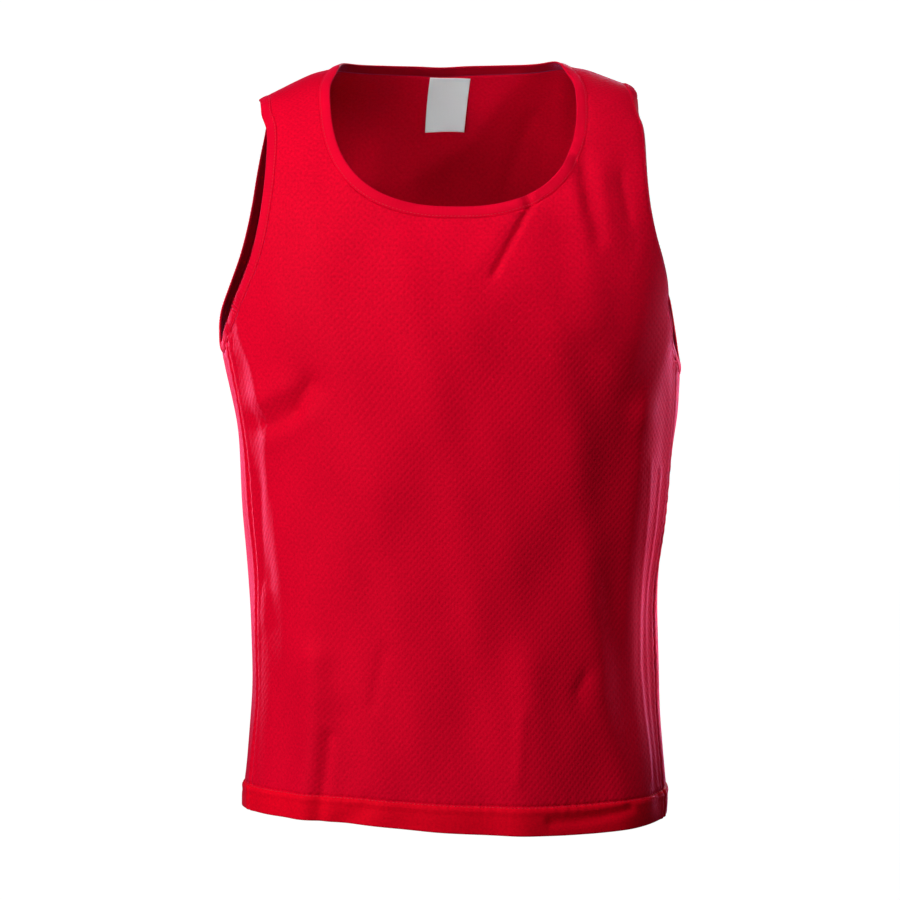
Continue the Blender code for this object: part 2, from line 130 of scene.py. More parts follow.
# Level cuts through the form
Section = namedtuple("Section", "height middle half_width front_depth back_depth")
SECTIONS = rows(
    Section,
    (-0.700, 0.0035, 0.1900, 0.122, 0.116),
    (-0.655, 0.0038, 0.1885, 0.121, 0.114),
    (-0.600, 0.0048, 0.1830, 0.119, 0.110),
    (-0.550, 0.0043, 0.1792, 0.117, 0.106),
    (-0.505, 0.0034, 0.1782, 0.116, 0.102),
    (-0.450, 0.0036, 0.1800, 0.117, 0.100),
    (-0.400, 0.0045, 0.1845, 0.120, 0.102),
    (-0.340, 0.0056, 0.1900, 0.124, 0.108),
    (-0.290, 0.0040, 0.1955, 0.126, 0.113),
    (-0.240, 0.0005, 0.2010, 0.126, 0.117),
    (-0.180, 0.0, 0.2020, 0.121, 0.117),
    (-0.120, 0.0, 0.2020, 0.109, 0.112),
    (-0.060, 0.0, 0.2020, 0.096, 0.102),
    (0.0, 0.0, 0.2020, 0.088, 0.092),
    (0.060, 0.0, 0.2020, 0.084, 0.088),
)

# The hem's edge rises by this much above HEM_HEIGHT, and the lift dies out by the waist.
HemPoint = namedtuple("HemPoint", "around lift")
HEM_LINE = rows(
    HemPoint,
    (-0.514, 0.003),
    (-0.400, 0.005),
    (-0.300, 0.008),
    (-0.221, 0.0125),
    (-0.110, 0.0125),
    (-0.012, 0.0055),
    (0.065, 0.0015),
    (0.130, 0.0005),
    (0.221, 0.002),
    (0.300, 0.003),
    (0.400, 0.001),
    (0.514, 0.003),
)
HEM_LIFT_ENDS = -0.500

# An armhole is an egg whose lowest point lies behind the side seam.
Armhole = namedtuple("Armhole", "low_around low narrow_front narrow_back narrow tip_x squareness")
ARMHOLES = {
    "left": Armhole(0.248, -0.250, 0.1565, 0.1575, -0.050, 0.1575, 1.8),
    "right": Armhole(0.250, -0.270, 0.1600, 0.1590, -0.050, 0.1500, 1.8),
}

# How the worn armholes depart from their eggs: how far out each panel's edge is pulled at a
# height, and how far the right one's tape is turned back there, in degrees.
Pull = namedtuple("Pull", "height front_left front_right back_left back_right turned_right")
PULLS = rows(
    Pull,
    (-0.270, 0.0, 0.0, 0.0, 0.0, 0.0),
    (-0.258, 0.0, -0.0035, 0.0, 0.0020, 8.0),
    (-0.245, 0.0, -0.0060, 0.0, 0.0060, 18.0),
    (-0.225, -0.0014, -0.0005, 0.0, 0.0095, 30.0),
    (-0.208, -0.0004, 0.0032, -0.0005, 0.0115, 36.0),
    (-0.190, -0.0024, 0.0075, 0.0, 0.0070, 42.0),
    (-0.170, -0.0050, 0.0062, -0.0010, 0.0030, 44.0),
    (-0.150, -0.0058, 0.0032, -0.0010, 0.0010, 44.0),
    (-0.125, -0.0055, 0.0022, -0.0006, 0.0, 44.0),
    (-0.095, -0.0052, 0.0034, -0.0006, 0.0, 44.0),
    (-0.070, -0.0046, 0.0046, -0.0024, 0.0, 44.0),
    (-0.050, -0.0042, 0.0044, -0.0048, 0.0, 42.0),
    (-0.036, -0.0036, 0.0034, -0.0064, 0.0, 36.0),
    (-0.026, -0.0018, 0.0010, -0.0072, 0.0, 24.0),
    (-0.016, 0.0, 0.0, -0.0076, 0.0, 8.0),
    (0.0, 0.0, 0.0, -0.0060, 0.0, 0.0),
    (0.016, 0.0, 0.0, -0.0034, 0.0, 0.0),
    (0.030, 0.0, 0.0, -0.0013, 0.0, 0.0),
    (0.042, 0.0, 0.0, 0.0, 0.0, 0.0),
)

PULL_GROWS = 0.024  # the way from the side seam over which the pulls grow
TURN_FADES = 0.040  # the depth between front and back over which the turned tape turns flat

# Ridges (+) and troughs (-) from a low end to a high end, with their half-width, their rise,
# and how far their middle bows from a straight line. Around is measured from the centre of
# the fold's own panel. The folds are the form's largest, and the creases are finer.
Fold = namedtuple("Fold", "around_low low around_high high half_width rise bow")
FOLDS = {
    "front": rows(
        Fold,
        (0.020, -0.192, 0.067, -0.112, 0.013, -0.0008, 0.002),
        (0.119, -0.148, 0.106, -0.080, 0.009, -0.0030, 0.0),
        (0.150, -0.155, 0.143, -0.085, 0.010, -0.0012, 0.0),
        (0.172, -0.215, 0.168, -0.060, 0.036, 0.0040, 0.0),
        (0.110, -0.215, 0.104, -0.110, 0.020, 0.0030, 0.0),
        (-0.195, -0.306, -0.128, -0.272, 0.013, -0.0031, 0.009),
        (-0.184, -0.284, -0.152, -0.274, 0.012, 0.0022, 0.0),
        (-0.150, -0.670, -0.140, -0.510, 0.014, 0.0046, 0.0),
        (-0.106, -0.670, -0.114, -0.560, 0.018, -0.0034, 0.0),
        (0.054, -0.670, 0.063, -0.515, 0.019, 0.0022, 0.0),
        (0.112, -0.545, 0.124, -0.520, 0.0100, -0.0009, 0.0),
    ),
    "back": rows(
        Fold,
        (-0.104, -0.670, -0.072, -0.430, 0.024, 0.0050, 0.006),
        (-0.052, -0.670, -0.030, -0.500, 0.021, -0.0035, 0.0),
        (0.070, -0.670, 0.095, -0.470, 0.023, -0.0045, -0.005),
        (0.168, -0.670, 0.150, -0.500, 0.023, 0.0040, 0.0),
        (-0.240, -0.315, -0.150, -0.245, 0.016, -0.0055, 0.008),
        (0.245, -0.330, 0.160, -0.260, 0.016, -0.0050, -0.008),
        (-0.090, -0.170, -0.055, -0.075, 0.015, -0.0030, 0.0),
    ),
}
CREASES = {
    "front": rows(
        Fold,
        (0.0295, -0.178, 0.0632, -0.116, 0.0027, -0.0032, 0.0),
        (0.018, -0.168, 0.051, -0.119, 0.0080, 0.0011, 0.0),
        (0.110, -0.124, 0.107, -0.094, 0.0050, -0.0014, 0.0),
        (0.148, -0.128, 0.143, -0.094, 0.0045, -0.0014, 0.0),
        (0.126, -0.150, 0.122, -0.088, 0.0070, 0.0008, 0.0),
        (-0.147, -0.295, -0.130, -0.271, 0.0055, -0.0024, -0.001),
        (-0.184, -0.307, -0.149, -0.296, 0.0055, -0.0018, 0.003),
        (-0.176, -0.321, -0.134, -0.300, 0.0090, 0.0014, 0.0),
        (-0.176, -0.288, -0.154, -0.277, 0.0075, 0.0012, 0.0),
        (-0.200, -0.440, -0.202, -0.262, 0.0130, -0.0024, 0.0),
        (-0.178, -0.300, -0.200, -0.226, 0.0055, 0.0012, 0.003),
        (-0.206, -0.480, -0.179, -0.305, 0.0070, 0.0009, -0.004),
        (0.202, -0.640, 0.200, -0.290, 0.0100, -0.0012, 0.003),
        (0.182, -0.640, 0.166, -0.300, 0.0170, 0.0028, 0.0),
        (0.168, -0.300, 0.200, -0.228, 0.0140, 0.0024, -0.002),
        (0.192, -0.620, 0.178, -0.340, 0.0030, 0.0009, 0.002),
        (0.207, -0.630, 0.200, -0.350, 0.0032, 0.0010, -0.001),
        (-0.131, -0.655, -0.127, -0.575, 0.0065, -0.0032, 0.0),
        (-0.118, -0.655, -0.085, -0.632, 0.0100, -0.0024, 0.0),
        (0.080, -0.646, 0.160, -0.640, 0.0042, -0.0024, 0.002),
        (-0.084, -0.545, -0.073, -0.500, 0.0060, -0.0010, 0.0),
        (0.050, -0.610, 0.055, -0.555, 0.0060, 0.0010, 0.0),
        (0.112, -0.535, 0.120, -0.524, 0.0050, -0.0010, 0.0),
    ),
    "back": rows(
        Fold,
        (-0.110, -0.640, -0.088, -0.520, 0.008, 0.0014, 0.002),
        (0.064, -0.650, 0.080, -0.560, 0.007, -0.0014, 0.0),
        (0.150, -0.640, 0.146, -0.560, 0.007, 0.0012, 0.0),
        (-0.225, -0.308, -0.165, -0.262, 0.007, -0.0018, 0.004),
        (0.235, -0.322, 0.175, -0.278, 0.007, -0.0016, -0.004),
        (-0.020, -0.470, -0.002, -0.400, 0.009, -0.0012, 0.0),
        (0.050, -0.120, 0.075, -0.040, 0.008, 0.0012, 0.0),
        (-0.190, -0.600, -0.205, -0.420, 0.009, -0.0014, 0.002),
        (0.205, -0.560, 0.215, -0.400, 0.008, 0.0012, 0.002),
    ),
}

# Slow waves over all the cloth: how many go round it, their length up it, phase and rise
Wave = namedtuple("Wave", "round height phase rise")
WAVES = rows(
    Wave,
    (11, 0.410, 0.3, 0.00070),
    (7, -0.230, 1.9, 0.00070),
    (18, 0.300, 4.1, 0.00035),
    (13, -0.130, 2.6, 0.00030),
    (5, 0.110, 5.2, 0.00045),
    (27, 0.210, 0.9, 0.00016),
)

# How finely a panel's net is cut: columns across its parts from the side seam in, and rows
# up its parts from the hem
NetSize = namedtuple("NetSize", "side strap centre body chest shoulder")
NET_SIZES = {"front": NetSize(16, 46, 60, 130, 30, 56), "back": NetSize(32, 36, 56, 130, 54, 32)}
# Where those parts meet: two heights on the armhole, and a share of the way up the neckline
ARMHOLE_CORNER = {"front": -0.200, "back": -0.205}
CHEST_CORNER = {"front": -0.100, "back": -0.030}
NECK_CORNER = {"front": 0.42, "back": 0.55}
CENTRE_SHARE = 0.9
SIDE_CROWDING = 1.6
SHOULDER_CROWDING = 1.35
SHORT_WAY = 0.0008  # the way over which a slope is taken

# Rows over the hem, above its edge: close at the fold and at the stitch line, open between
HEM_ROWS = np.array([
    0.0000, 0.0001, 0.0003, 0.0006, 0.0010, 0.0015, 0.0025, 0.0045, 0.0070, 0.0100, 0.0130,
    0.0160, 0.0185, 0.0205, 0.0220, 0.0230, 0.0237, 0.0242, 0.0246, 0.0250, 0.0254, 0.0258,
    0.0263, 0.0269, 0.0277, 0.0290, 0.0310,
])
HEM_STITCH = 0.0252
HEM_STAND = 0.0011  # how far the doubled hem stands out below its stitch line
HEM_STEP = 0.0009
HEM_EASE = 0.012
HEM_BLUR = 0.001  # the width over which the hem's colour ends
HEM_FOLD_LEAST = 0.02  # the least share of the wall, squared, that is left at the hem's fold

# Points along the outlines before they are cut to a net
EGG_POINTS = 1441
STRAP_POINTS = 121
NECK_POINTS = 241
NECK_SIDE_POINTS = 61
EDGE_MARKS = 240
CHEST_POINTS = 4001

# Sewn relief. Banks run along a seam at a distance off it, and are grooves where their rise
# is negative. Puckers are ripples along a seam that fade within their reach.
Bank = namedtuple("Bank", "off half_width rise")
Pucker = namedtuple("Pucker", "length reach rise")
HEM_BANKS = (Bank(-0.0040, 0.0024, 0.0008), Bank(0.0010, 0.0012, -0.0009))
HEM_PUCKER = Pucker(0.0085, 0.007, 0.00035)
SIDE_BANKS = (Bank(0.0, 0.0013, -0.0014), Bank(0.0048, 0.0028, 0.0009))
SIDE_PUCKER = Pucker(0.011, 0.006, 0.0004)
SHOULDER_BANKS = (Bank(0.0, 0.0012, -0.0008), Bank(0.0045, 0.0025, 0.0005))
BOUND_BANKS = (Bank(0.0, 0.0012, -0.0002),)
ARMHOLE_PUCKER = Pucker(0.0062, 0.012, 0.0006)
NECK_PUCKER = Pucker(0.0090, 0.010, 0.00016)
ARMHOLE_NEAR = 0.16  # no puckers are worked out further than this from an armhole's middle
NECK_NEAR = 0.05  # nor further than this below the neckline

# A ripple's drift in radians, its fading as a share, and how many ripples each takes
RIPPLE_DRIFT, DRIFT_RIPPLES = 1.9, 7.3
RIPPLE_FADE, FADE_RIPPLES, FADE_START = 0.3, 11.7, 1.0
GATHER_LEAST, GATHER_REACH = 0.12, 0.055
NECK_GATHER = 0.08

# Across a tape: where its groove is, where its face starts past it, and how finely it is cut
STITCH_INSET = 0.0014
TAPE_BANKS = (Bank(STITCH_INSET, 0.00045, -0.00035), Bank(0.0, 0.0003, -0.0003))
TAPE_NEAR, TAPE_PAST = 0.0028, 0.0035
TAPE_NEAR_POINTS, TAPE_PAST_POINTS, TAPE_FOLD_POINTS, TAPE_UNDER_POINTS = 12, 9, 9, 6
TAPE_ROUNDNESS = 0.8
TAPE_RIBS_START = 0.003
TAPE_SCALLOPS_START = 0.6
# Where the painted shade on a tape's underside starts and where it is full, as shares of its
# thickness
TAPE_INSIDE_FROM, TAPE_INSIDE_TO = 0.32, 0.72
TAPE_STEPS = 620

# A stitch: its half length as a share of the pitch, its sections from end to end, each with
# its thickness, and its rise and dive in thread radii
STITCH_SHARE = 0.36
STITCH_SIDES = 6
STITCH_SECTIONS = (-1.0, -0.8, 0.0, 0.8, 1.0)
STITCH_THICKNESS = (0.25, 0.8, 1.0, 0.8, 0.25)
STITCH_RISE, STITCH_DIVE = 0.35, 0.9
STITCH_SUNK = 0.0002
SEWN_STEPS = 900
HEM_STEPS = 1400
FIT_ALLOWED = 0.011  # how far a piece may depart from the box of its solid

# Finishes. Reliefs are shares of a material's own relief distance.
TURN = 2 * math.pi
BLACK, PALE, WHITE = (0.0, 0.0, 0.0, 1.0), (0.25, 0.25, 0.25, 1.0), (1.0, 1.0, 1.0, 1.0)
MESH_SWAY = 0.0016
HOLE_DEEPEST = 0.97
# How dark the painted shade in the pinholes is, as a share of the mesh colour
HOLE_SHADE_TONE = 0.3
HOLE_RELIEF, RIDGE_RELIEF, WALE_RELIEF = 0.35, 0.5, 0.10
MESH_RELIEF, YARN_RELIEF = 0.8, 0.16
COURSE_BEND, COURSE_RELIEF = 0.5, 0.4
MESH_STITCH, TAPE_STITCH = 0.0009, 0.0012
SATIN_RIB = 0.0007
HEM_PLAIN = 0.85
HEM_TINT = (1.12, 0.9, 0.72, 1.0)
# Painted shade in the hollows between a tape's ribs, as a share of the way to black
VALLEY_SHADE = 0.5
# Dry cloth has hardly any shine face on, and a pink sheen at a glancing angle.
DRY_CLOTH = {
    "Specular_IOR_Level": 0.02,
    "Sheen_Weight": 0.28,
    "Sheen_Roughness": 0.25,
    "Sheen_Tint": (1.0, 0.27, 0.80, 1.0),
}

# Studio. A light has a setting that it takes a share of, a size, a place, an aim, a colour
# and a spread in degrees. The rim lights are pink, as their glint colours the cloth's rims.
SENSOR_WIDTH = 36.0
VIEW_CENTRE = (0.0, 0.0, -0.3365)
WORLD_LIGHT = 0.02
BACKDROP = (1.6, -6.0, 3.2, 7.0, 6.0)  # its radius, near end, far end, half width and top
CHEST = (0.0, 0.0, -0.25)
NARROW = (0.2, 0.4)
PLAIN, WARM, PINK = (1.0, 1.0, 1.0), (1.0, 0.98, 0.96), (1.0, 0.5, 1.0)
Lamp = namedtuple("Lamp", "name setting share size at towards colour spread")
LAMPS = rows(
    Lamp,
    ("key", "key_power", 1.0, (0.8, 1.2), (-1.37, -1.15, 0.33), CHEST, WARM, 180),
    ("front", "front_power", 1.0, (0.9, 0.9), (-0.80, -1.72, -0.08), CHEST, PLAIN, 180),
    ("top", "top_power", 1.0, (0.8, 0.8), (0.15, -0.50, 1.26), (0.05, 0.0, -0.15), PLAIN, 180),
    ("neck", "neck_power", 1.0, (0.3, 0.3), (0.85, -1.85, -0.12), (0.06, 0.0, 0.01), PLAIN, 10),
    ("rim_left", "rim_power", 1.4, NARROW, (-1.07, 1.19, -0.33), (-0.18, 0.03, -0.33), PINK, 9),
    ("rim_right", "rim_power", 1.3, NARROW, (1.41, 0.76, -0.38), (0.18, 0.03, -0.38), PINK, 9),
    ("rim_low", "rim_power", 0.5, NARROW, (1.03, 1.23, -0.42), (0.18, 0.03, -0.42), PINK, 9),
    ("back", "back_power", 1.0, (1.2, 1.2), (0.9, 2.5, 0.5), CHEST, PLAIN, 180),
)


# ---------------------------------------------------------------- form


def smooth(at, table, start, column):
    """A smooth line through two columns of a table: a cubic between rows, with shared slopes."""
    starts = np.array([getattr(row, start) for row in table])
    values = np.array([getattr(row, column) for row in table])
    slopes = np.gradient(values, starts)
    low = np.clip(np.searchsorted(starts, at) - 1, 0, len(starts) - 2)
    step = starts[low + 1] - starts[low]
    t = np.clip((at - starts[low]) / step, 0.0, 1.0)
    leaving = (1 + 2 * t) * (1 - t) ** 2 * values[low] + t * (1 - t) ** 2 * step * slopes[low]
    arriving = t**2 * (3 - 2 * t) * values[low + 1] - t**2 * (1 - t) * step * slopes[low + 1]
    return leaving + arriving


def unit(vectors):
    """The same directions, one long."""
    return vectors / np.linalg.norm(vectors, axis=-1, keepdims=True)


def stack(*parts):
    """Arrays of one shape, side by side in a new last axis."""
    return np.stack(parts, axis=-1)


def way_along(line):
    """How far along a line each of its points lies: the sum of the steps before it."""
    steps = np.linalg.norm(np.diff(line, axis=0), axis=1)
    return np.concatenate([[0.0], np.cumsum(steps)])


def read_off(marks, length, line):
    """A line's columns at some ways along it."""
    return stack(*[np.interp(marks, length, column) for column in line.T])


def share_of(value):
    """A value kept between nothing and one."""
    return np.clip(value, 0.0, 1.0)


def bell(distance, half_width):
    """A soft bump: one at no distance, and nearly nothing past twice its half-width."""
    return np.exp(-((distance / half_width) ** 2))


def bent(value):
    """The squared-off sine or cosine of a superellipse."""
    return np.sign(value) * np.abs(value) ** (2 / SQUARENESS)


def cloth_round_chest():
    """Turns from front centre to back centre, and the length of cloth up to each at the chest."""
    chest = max(SECTIONS, key=lambda row: row.front_depth)
    turns = np.linspace(0.0, math.pi, CHEST_POINTS)
    x = chest.half_width * bent(np.sin(turns))
    depth = np.where(turns < math.pi / 2, chest.front_depth, chest.back_depth)
    y = -depth * bent(np.cos(turns))
    return turns, way_along(stack(x, y))


TURNS, LENGTHS = cloth_round_chest()
HALF_GIRTH = LENGTHS[-1]


def wrapped(around):
    """The same place with around between the back centre's two values."""
    return (around + HALF_GIRTH) % (2 * HALF_GIRTH) - HALF_GIRTH


def from_centre(around, panel):
    """The same place measured from the centre of a panel, still positive towards +X."""
    around = wrapped(around)
    return around if panel == "front" else np.where(around < 0, -HALF_GIRTH, HALF_GIRTH) - around


def shoulder_line(x):
    """Height of the shoulder's crest at x: a soft roof, a little higher on the right, which
    dips where the neckline crosses it."""
    run = np.hypot(x, SHOULDER_SOFT) - math.hypot(NECK_HALF_WIDTH, SHOULDER_SOFT)
    dip = SHOULDER_DROP + SHOULDER_DIP * bell(np.abs(x) - NECK_TOP_HALF_WIDTH, SHOULDER_DIP_WIDTH)
    return SHOULDER_TILT * x**3 - SHOULDER_SLOPE * run - dip


def crest(x):
    """The shoulder line as a height up the cloth, which climbs a quarter turn of the roll."""
    return shoulder_line(x) + SHOULDER_ROLL * (math.pi / 2 - 1)


def width_at(around, height):
    """The turn about the form's middle at a place, and x there."""
    around = wrapped(around)
    turn = np.sign(around) * np.interp(np.abs(around), LENGTHS, TURNS)
    middle = smooth(height, SECTIONS, "height", "middle")
    return turn, middle + smooth(height, SECTIONS, "height", "half_width") * bent(np.sin(turn))


def form(around, height):
    """The bare form: a superellipse at each height, whose depth closes to nothing at the crest."""
    turn, x = width_at(around, height)
    roll_start = shoulder_line(x) - SHOULDER_ROLL
    roll = np.maximum((height - roll_start) / SHOULDER_ROLL, 0.0)
    z = np.where(roll > 0, roll_start + SHOULDER_ROLL * np.sin(roll), height)
    front = smooth(z, SECTIONS, "height", "front_depth")
    back = smooth(z, SECTIONS, "height", "back_depth")
    facing = np.cos(turn)
    y = -np.where(facing > 0, front, back) * bent(facing) * np.cos(roll)
    return stack(x, y, z)


def normals(surface, around, height):
    """Outward unit normals, from how the surface changes a short way around and up."""
    across = surface(around + SHORT_WAY, height) - surface(around - SHORT_WAY, height)
    up = surface(around, height + SHORT_WAY) - surface(around, height - SHORT_WAY)
    return unit(np.cross(across, up))


def rise_of(folds, around, height):
    """Sum of some folds: each a soft bank across a bowed line between its two ends."""
    total = np.zeros(np.shape(around))
    for panel, fold in [(panel, fold) for panel in folds for fold in folds[panel]]:
        a = from_centre(around, panel) - fold.around_low
        h = height - fold.low
        run_a = fold.around_high - fold.around_low
        run_h = fold.high - fold.low
        length = math.hypot(run_a, run_h)
        along = (a * run_a + h * run_h) / length**2
        inside = share_of(along)
        off = (a * run_h - h * run_a) / length - 4 * fold.bow * inside * (1 - inside)
        beyond = (along - inside) * length
        total += fold.rise * np.exp(-(off**2 + beyond**2) / fold.half_width**2)
    return total


def drape(around, height, crease_depth):
    """All folds, creases and slow waves, dying out at the shoulder seam."""
    turn = math.pi * around / HALF_GIRTH
    waves = sum(
        wave.rise * np.sin(wave.round * turn + TURN * height / wave.height + wave.phase)
        for wave in WAVES
    )
    creases = crease_depth * rise_of(CREASES, around, height)
    rise = rise_of(FOLDS, around, height) + creases + waves
    _, x = width_at(around, height)
    return rise * share_of((crest(x) - height) / SHOULDER_FADE)


def cloth(around, height, crease_depth):
    """The draped cloth: the form, moved out along its normal by the drape."""
    rise = drape(around, height, crease_depth)
    return form(around, height) + normals(form, around, height) * rise[..., None]


def place(panel, x, z):
    """Places on a panel, from its centre, that lie at x and z."""
    roll_start = shoulder_line(x) - SHOULDER_ROLL
    rolled = roll_start + SHOULDER_ROLL * np.arcsin(share_of((z - roll_start) / SHOULDER_ROLL))
    height = np.where(z > roll_start, rolled, z)
    from_middle = np.abs(x - smooth(height, SECTIONS, "height", "middle"))
    share = share_of(from_middle / smooth(height, SECTIONS, "height", "half_width"))
    turn = np.arcsin(share ** (SQUARENESS / 2))
    if panel == "front":
        length = np.interp(turn, TURNS, LENGTHS)
    else:
        length = HALF_GIRTH - np.interp(math.pi - turn, TURNS, LENGTHS)
    return stack(np.sign(x) * length, height)


# ---------------------------------------------------------------- outlines and nets


def seam_edge(panel):
    """How far a panel's side seam lies from its centre."""
    return SIDE_SEAM if panel == "front" else HALF_GIRTH - SIDE_SEAM


def armhole_edge(panel, side):
    """A panel's part of the egg, from the side seam to the narrowest place, then up to the tip.

    Its lower half is a superellipse, its strap a parabola, and the pulls are added to both.
    """
    hole = ARMHOLES[side]
    sign = -1 if side == "left" else 1
    seam = seam_edge(panel)
    narrow = hole.narrow_front if panel == "front" else hole.narrow_back
    turn = np.linspace(-math.pi / 2, math.pi / 2, EGG_POINTS)
    to_front = hole.low_around - hole.narrow_front
    to_back = HALF_GIRTH - hole.narrow_back - hole.low_around
    bend = 2 / hole.squareness
    reach = np.where(turn < 0, -to_front, to_back) * np.abs(np.sin(turn)) ** bend
    around = hole.low_around + reach
    height = hole.narrow - (hole.narrow - hole.low) * np.cos(turn) ** bend
    if panel == "front":
        around, height = around[::-1], height[::-1]
    else:
        around = HALF_GIRTH - around
    kept = around < seam
    start = [seam, np.interp(-seam, -around, height)]
    tip = place(panel, sign * hole.tip_x, shoulder_line(sign * hole.tip_x))
    rise = np.linspace(0.0, 1.0, STRAP_POINTS)[1:]
    upper_around = narrow + (abs(tip[0]) - narrow) * rise**2
    upper_height = hole.narrow + (tip[1] - hole.narrow) * rise
    lower = stack(around[kept], height[kept])
    line = np.vstack([start, lower, stack(upper_around, upper_height)])
    away = share_of((seam - line[:, 0]) / PULL_GROWS)
    line[:, 0] += away**2 * (3 - 2 * away) * smooth(line[:, 1], PULLS, "height", f"{panel}_{side}")
    return line * [sign, 1]


def neck_edge(panel, side):
    """From the middle of the neckline to the shoulder seam: half a squared U, or a shallow dip."""
    sign = -1 if side == "left" else 1
    top = shoulder_line(sign * NECK_TOP_HALF_WIDTH)
    turn = np.linspace(0.0, math.pi / 2, NECK_POINTS)
    if panel == "back":
        x = NECK_TOP_HALF_WIDTH * np.sin(turn)
        z = NECK_BACK + (top - NECK_BACK) * np.sin(turn) ** NECK_BACK_CURVE
    else:
        bend = 2 / NECK_SQUARENESS
        rise = np.linspace(0.0, 1.0, NECK_SIDE_POINTS)[1:]
        drawn_in = (NECK_HALF_WIDTH - NECK_TOP_HALF_WIDTH) * rise**NECK_DRAWN_IN
        x = np.concatenate([NECK_HALF_WIDTH * np.sin(turn) ** bend, NECK_HALF_WIDTH - drawn_in])
        curve = NECK_WIDEST - (NECK_WIDEST - NECK_FRONT) * np.cos(turn) ** bend
        z = np.concatenate([curve, NECK_WIDEST + (top - NECK_WIDEST) * rise])
    return place(panel, sign * x, z)


def shoulder_edge(panel, side, shares):
    """From the shoulder tip to the neck, along the crest."""
    sign = -1 if side == "left" else 1
    x = sign * (ARMHOLES[side].tip_x + (NECK_TOP_HALF_WIDTH - ARMHOLES[side].tip_x) * shares)
    return place(panel, x, shoulder_line(x))


def straight(start, end, shares):
    """A straight line between two places, cut at shares of its length."""
    start, end = np.asarray(start), np.asarray(end)
    return start + (end - start) * shares[:, None]


def cut(line, shares, measured=2):
    """The line cut at shares of its length, which its first few columns measure."""
    length = way_along(line[:, :measured])
    return read_off(shares * length[-1], length, line)


def patch(bottom, top, left, right, across, up):
    """A net between four edges: both its rulings added, less the one through its corners."""
    u, v = across[None, :, None], up[:, None, None]
    rulings = (1 - v) * bottom + v * top + (1 - u) * left[:, None] + u * right[:, None]
    low = (1 - u) * bottom[0] + u * bottom[-1]
    high = (1 - u) * top[0] + u * top[-1]
    return rulings - (1 - v) * low - v * high


def column_shares(size):
    """Shares across each part of a panel, close together at the side seams."""
    side = np.linspace(0.0, 1.0, size.side + 1) ** SIDE_CROWDING
    strap = np.linspace(0.0, 1.0, size.strap + 1)
    centre = np.linspace(0.0, 1.0, size.centre + 1)
    return side, strap, centre, strap, 1 - side[::-1]


def row_shares(size):
    """Shares up each part of a panel, close together at the hem's stitches and the shoulder."""
    shoulder = 1 - np.linspace(1.0, 0.0, size.shoulder + 1) ** SHOULDER_CROWDING
    body, chest = np.linspace(0.0, 1.0, size.body + 1), np.linspace(0.0, 1.0, size.chest + 1)
    return HEM_ROWS / HEM_ROWS[-1], body, chest, shoulder


def half_outline(panel, side):
    """One half of a panel: its corners by level, from the side in, and its curved edges."""
    size = NET_SIZES[panel]
    _, _, chest, shoulder = row_shares(size)
    side_shares, strap, *_ = column_shares(size)
    half_centre = np.linspace(0.0, 1.0, size.centre // 2 + 1)
    armhole = armhole_edge(panel, side)
    first = np.flatnonzero(armhole[:, 1] < ARMHOLE_CORNER[panel])[-1]
    second = np.flatnonzero(armhole[:, 1] < CHEST_CORNER[panel])[-1]
    neck = neck_edge(panel, side)
    third = round(NECK_CORNER[panel] * (len(neck) - 1))
    edges = {
        "under": cut(armhole[: first + 1], side_shares),
        "chest": cut(armhole[first : second + 1], chest),
        "tip": cut(armhole[second:], shoulder),
        "neck": cut(neck[: third + 1], half_centre),
        "neck_side": cut(neck[third:], shoulder),
        "shoulder": shoulder_edge(panel, side, strap),
    }
    under, inner = edges["under"][-1], edges["neck_side"][0] * [CENTRE_SHARE, 1.0]
    seam = edges["under"][0][0]
    hem_levels = (HEM_HEIGHT, HEM_HEIGHT + HEM_ROWS[-1])
    corners = [[(seam, z), (under[0], z), (inner[0], z)] for z in hem_levels]
    corners.append([edges["under"][0], under, (inner[0], under[1])])
    corners.append([None, edges["tip"][0], edges["neck_side"][0]])
    corners.append([None, edges["tip"][-1], edges["neck_side"][-1]])
    return corners, edges


def panel_net(panel):
    """Places over a panel in rows up it, from its centre. Where neck and armholes cut in, NaN."""
    size = NET_SIZES[panel]
    columns, rows = column_shares(size), row_shares(size)
    left_corners, left = half_outline(panel, "left")
    right_corners, right = half_outline(panel, "right")
    corners = [one + other[::-1] for one, other in zip(left_corners, right_corners)]
    across = {
        (2, 0): left["under"],
        (2, 4): right["under"][::-1],
        (3, 2): np.vstack([left["neck"][:0:-1], right["neck"]]),
        (4, 1): left["shoulder"],
        (4, 3): right["shoulder"][::-1],
    }
    upright = {
        (2, 1): left["chest"],
        (2, 4): right["chest"],
        (3, 1): left["tip"],
        (3, 2): left["neck_side"],
        (3, 3): right["neck_side"],
        (3, 4): right["tip"],
    }
    column = np.concatenate([[0], np.cumsum([len(part) - 1 for part in columns])])
    row = np.concatenate([[0], np.cumsum([len(part) - 1 for part in rows])])
    net = np.full((row[-1] + 1, column[-1] + 1, 2), np.nan)
    for i, up in enumerate(rows):
        for j, along in enumerate(columns):
            block = corners[i][j], corners[i][j + 1], corners[i + 1][j], corners[i + 1][j + 1]
            if (i, j) == (3, 2) or any(corner is None for corner in block):
                continue
            net[row[i] : row[i + 1] + 1, column[j] : column[j + 1] + 1] = patch(
                across.get((i, j), straight(block[0], block[1], along)),
                across.get((i + 1, j), straight(block[2], block[3], along)),
                upright.get((i, j), straight(block[0], block[2], up)),
                upright.get((i, j + 1), straight(block[1], block[3], up)),
                along,
                up,
            )
    return net


def on_form(net, panel):
    """Places from a panel's centre as places from the front centre, in the order of around."""
    if panel == "front":
        return net
    return (net * [-1, 1] + [HALF_GIRTH, 0])[:, ::-1]


def lift_hem(net):
    """Raises the net near the hem, so that its edge follows the hem line."""
    share = share_of((HEM_LIFT_ENDS - net[..., 1]) / (HEM_LIFT_ENDS - HEM_HEIGHT))
    lifted = net.copy()
    lifted[..., 1] += share**2 * smooth(wrapped(net[..., 0]), HEM_LINE, "around", "lift")
    return lifted


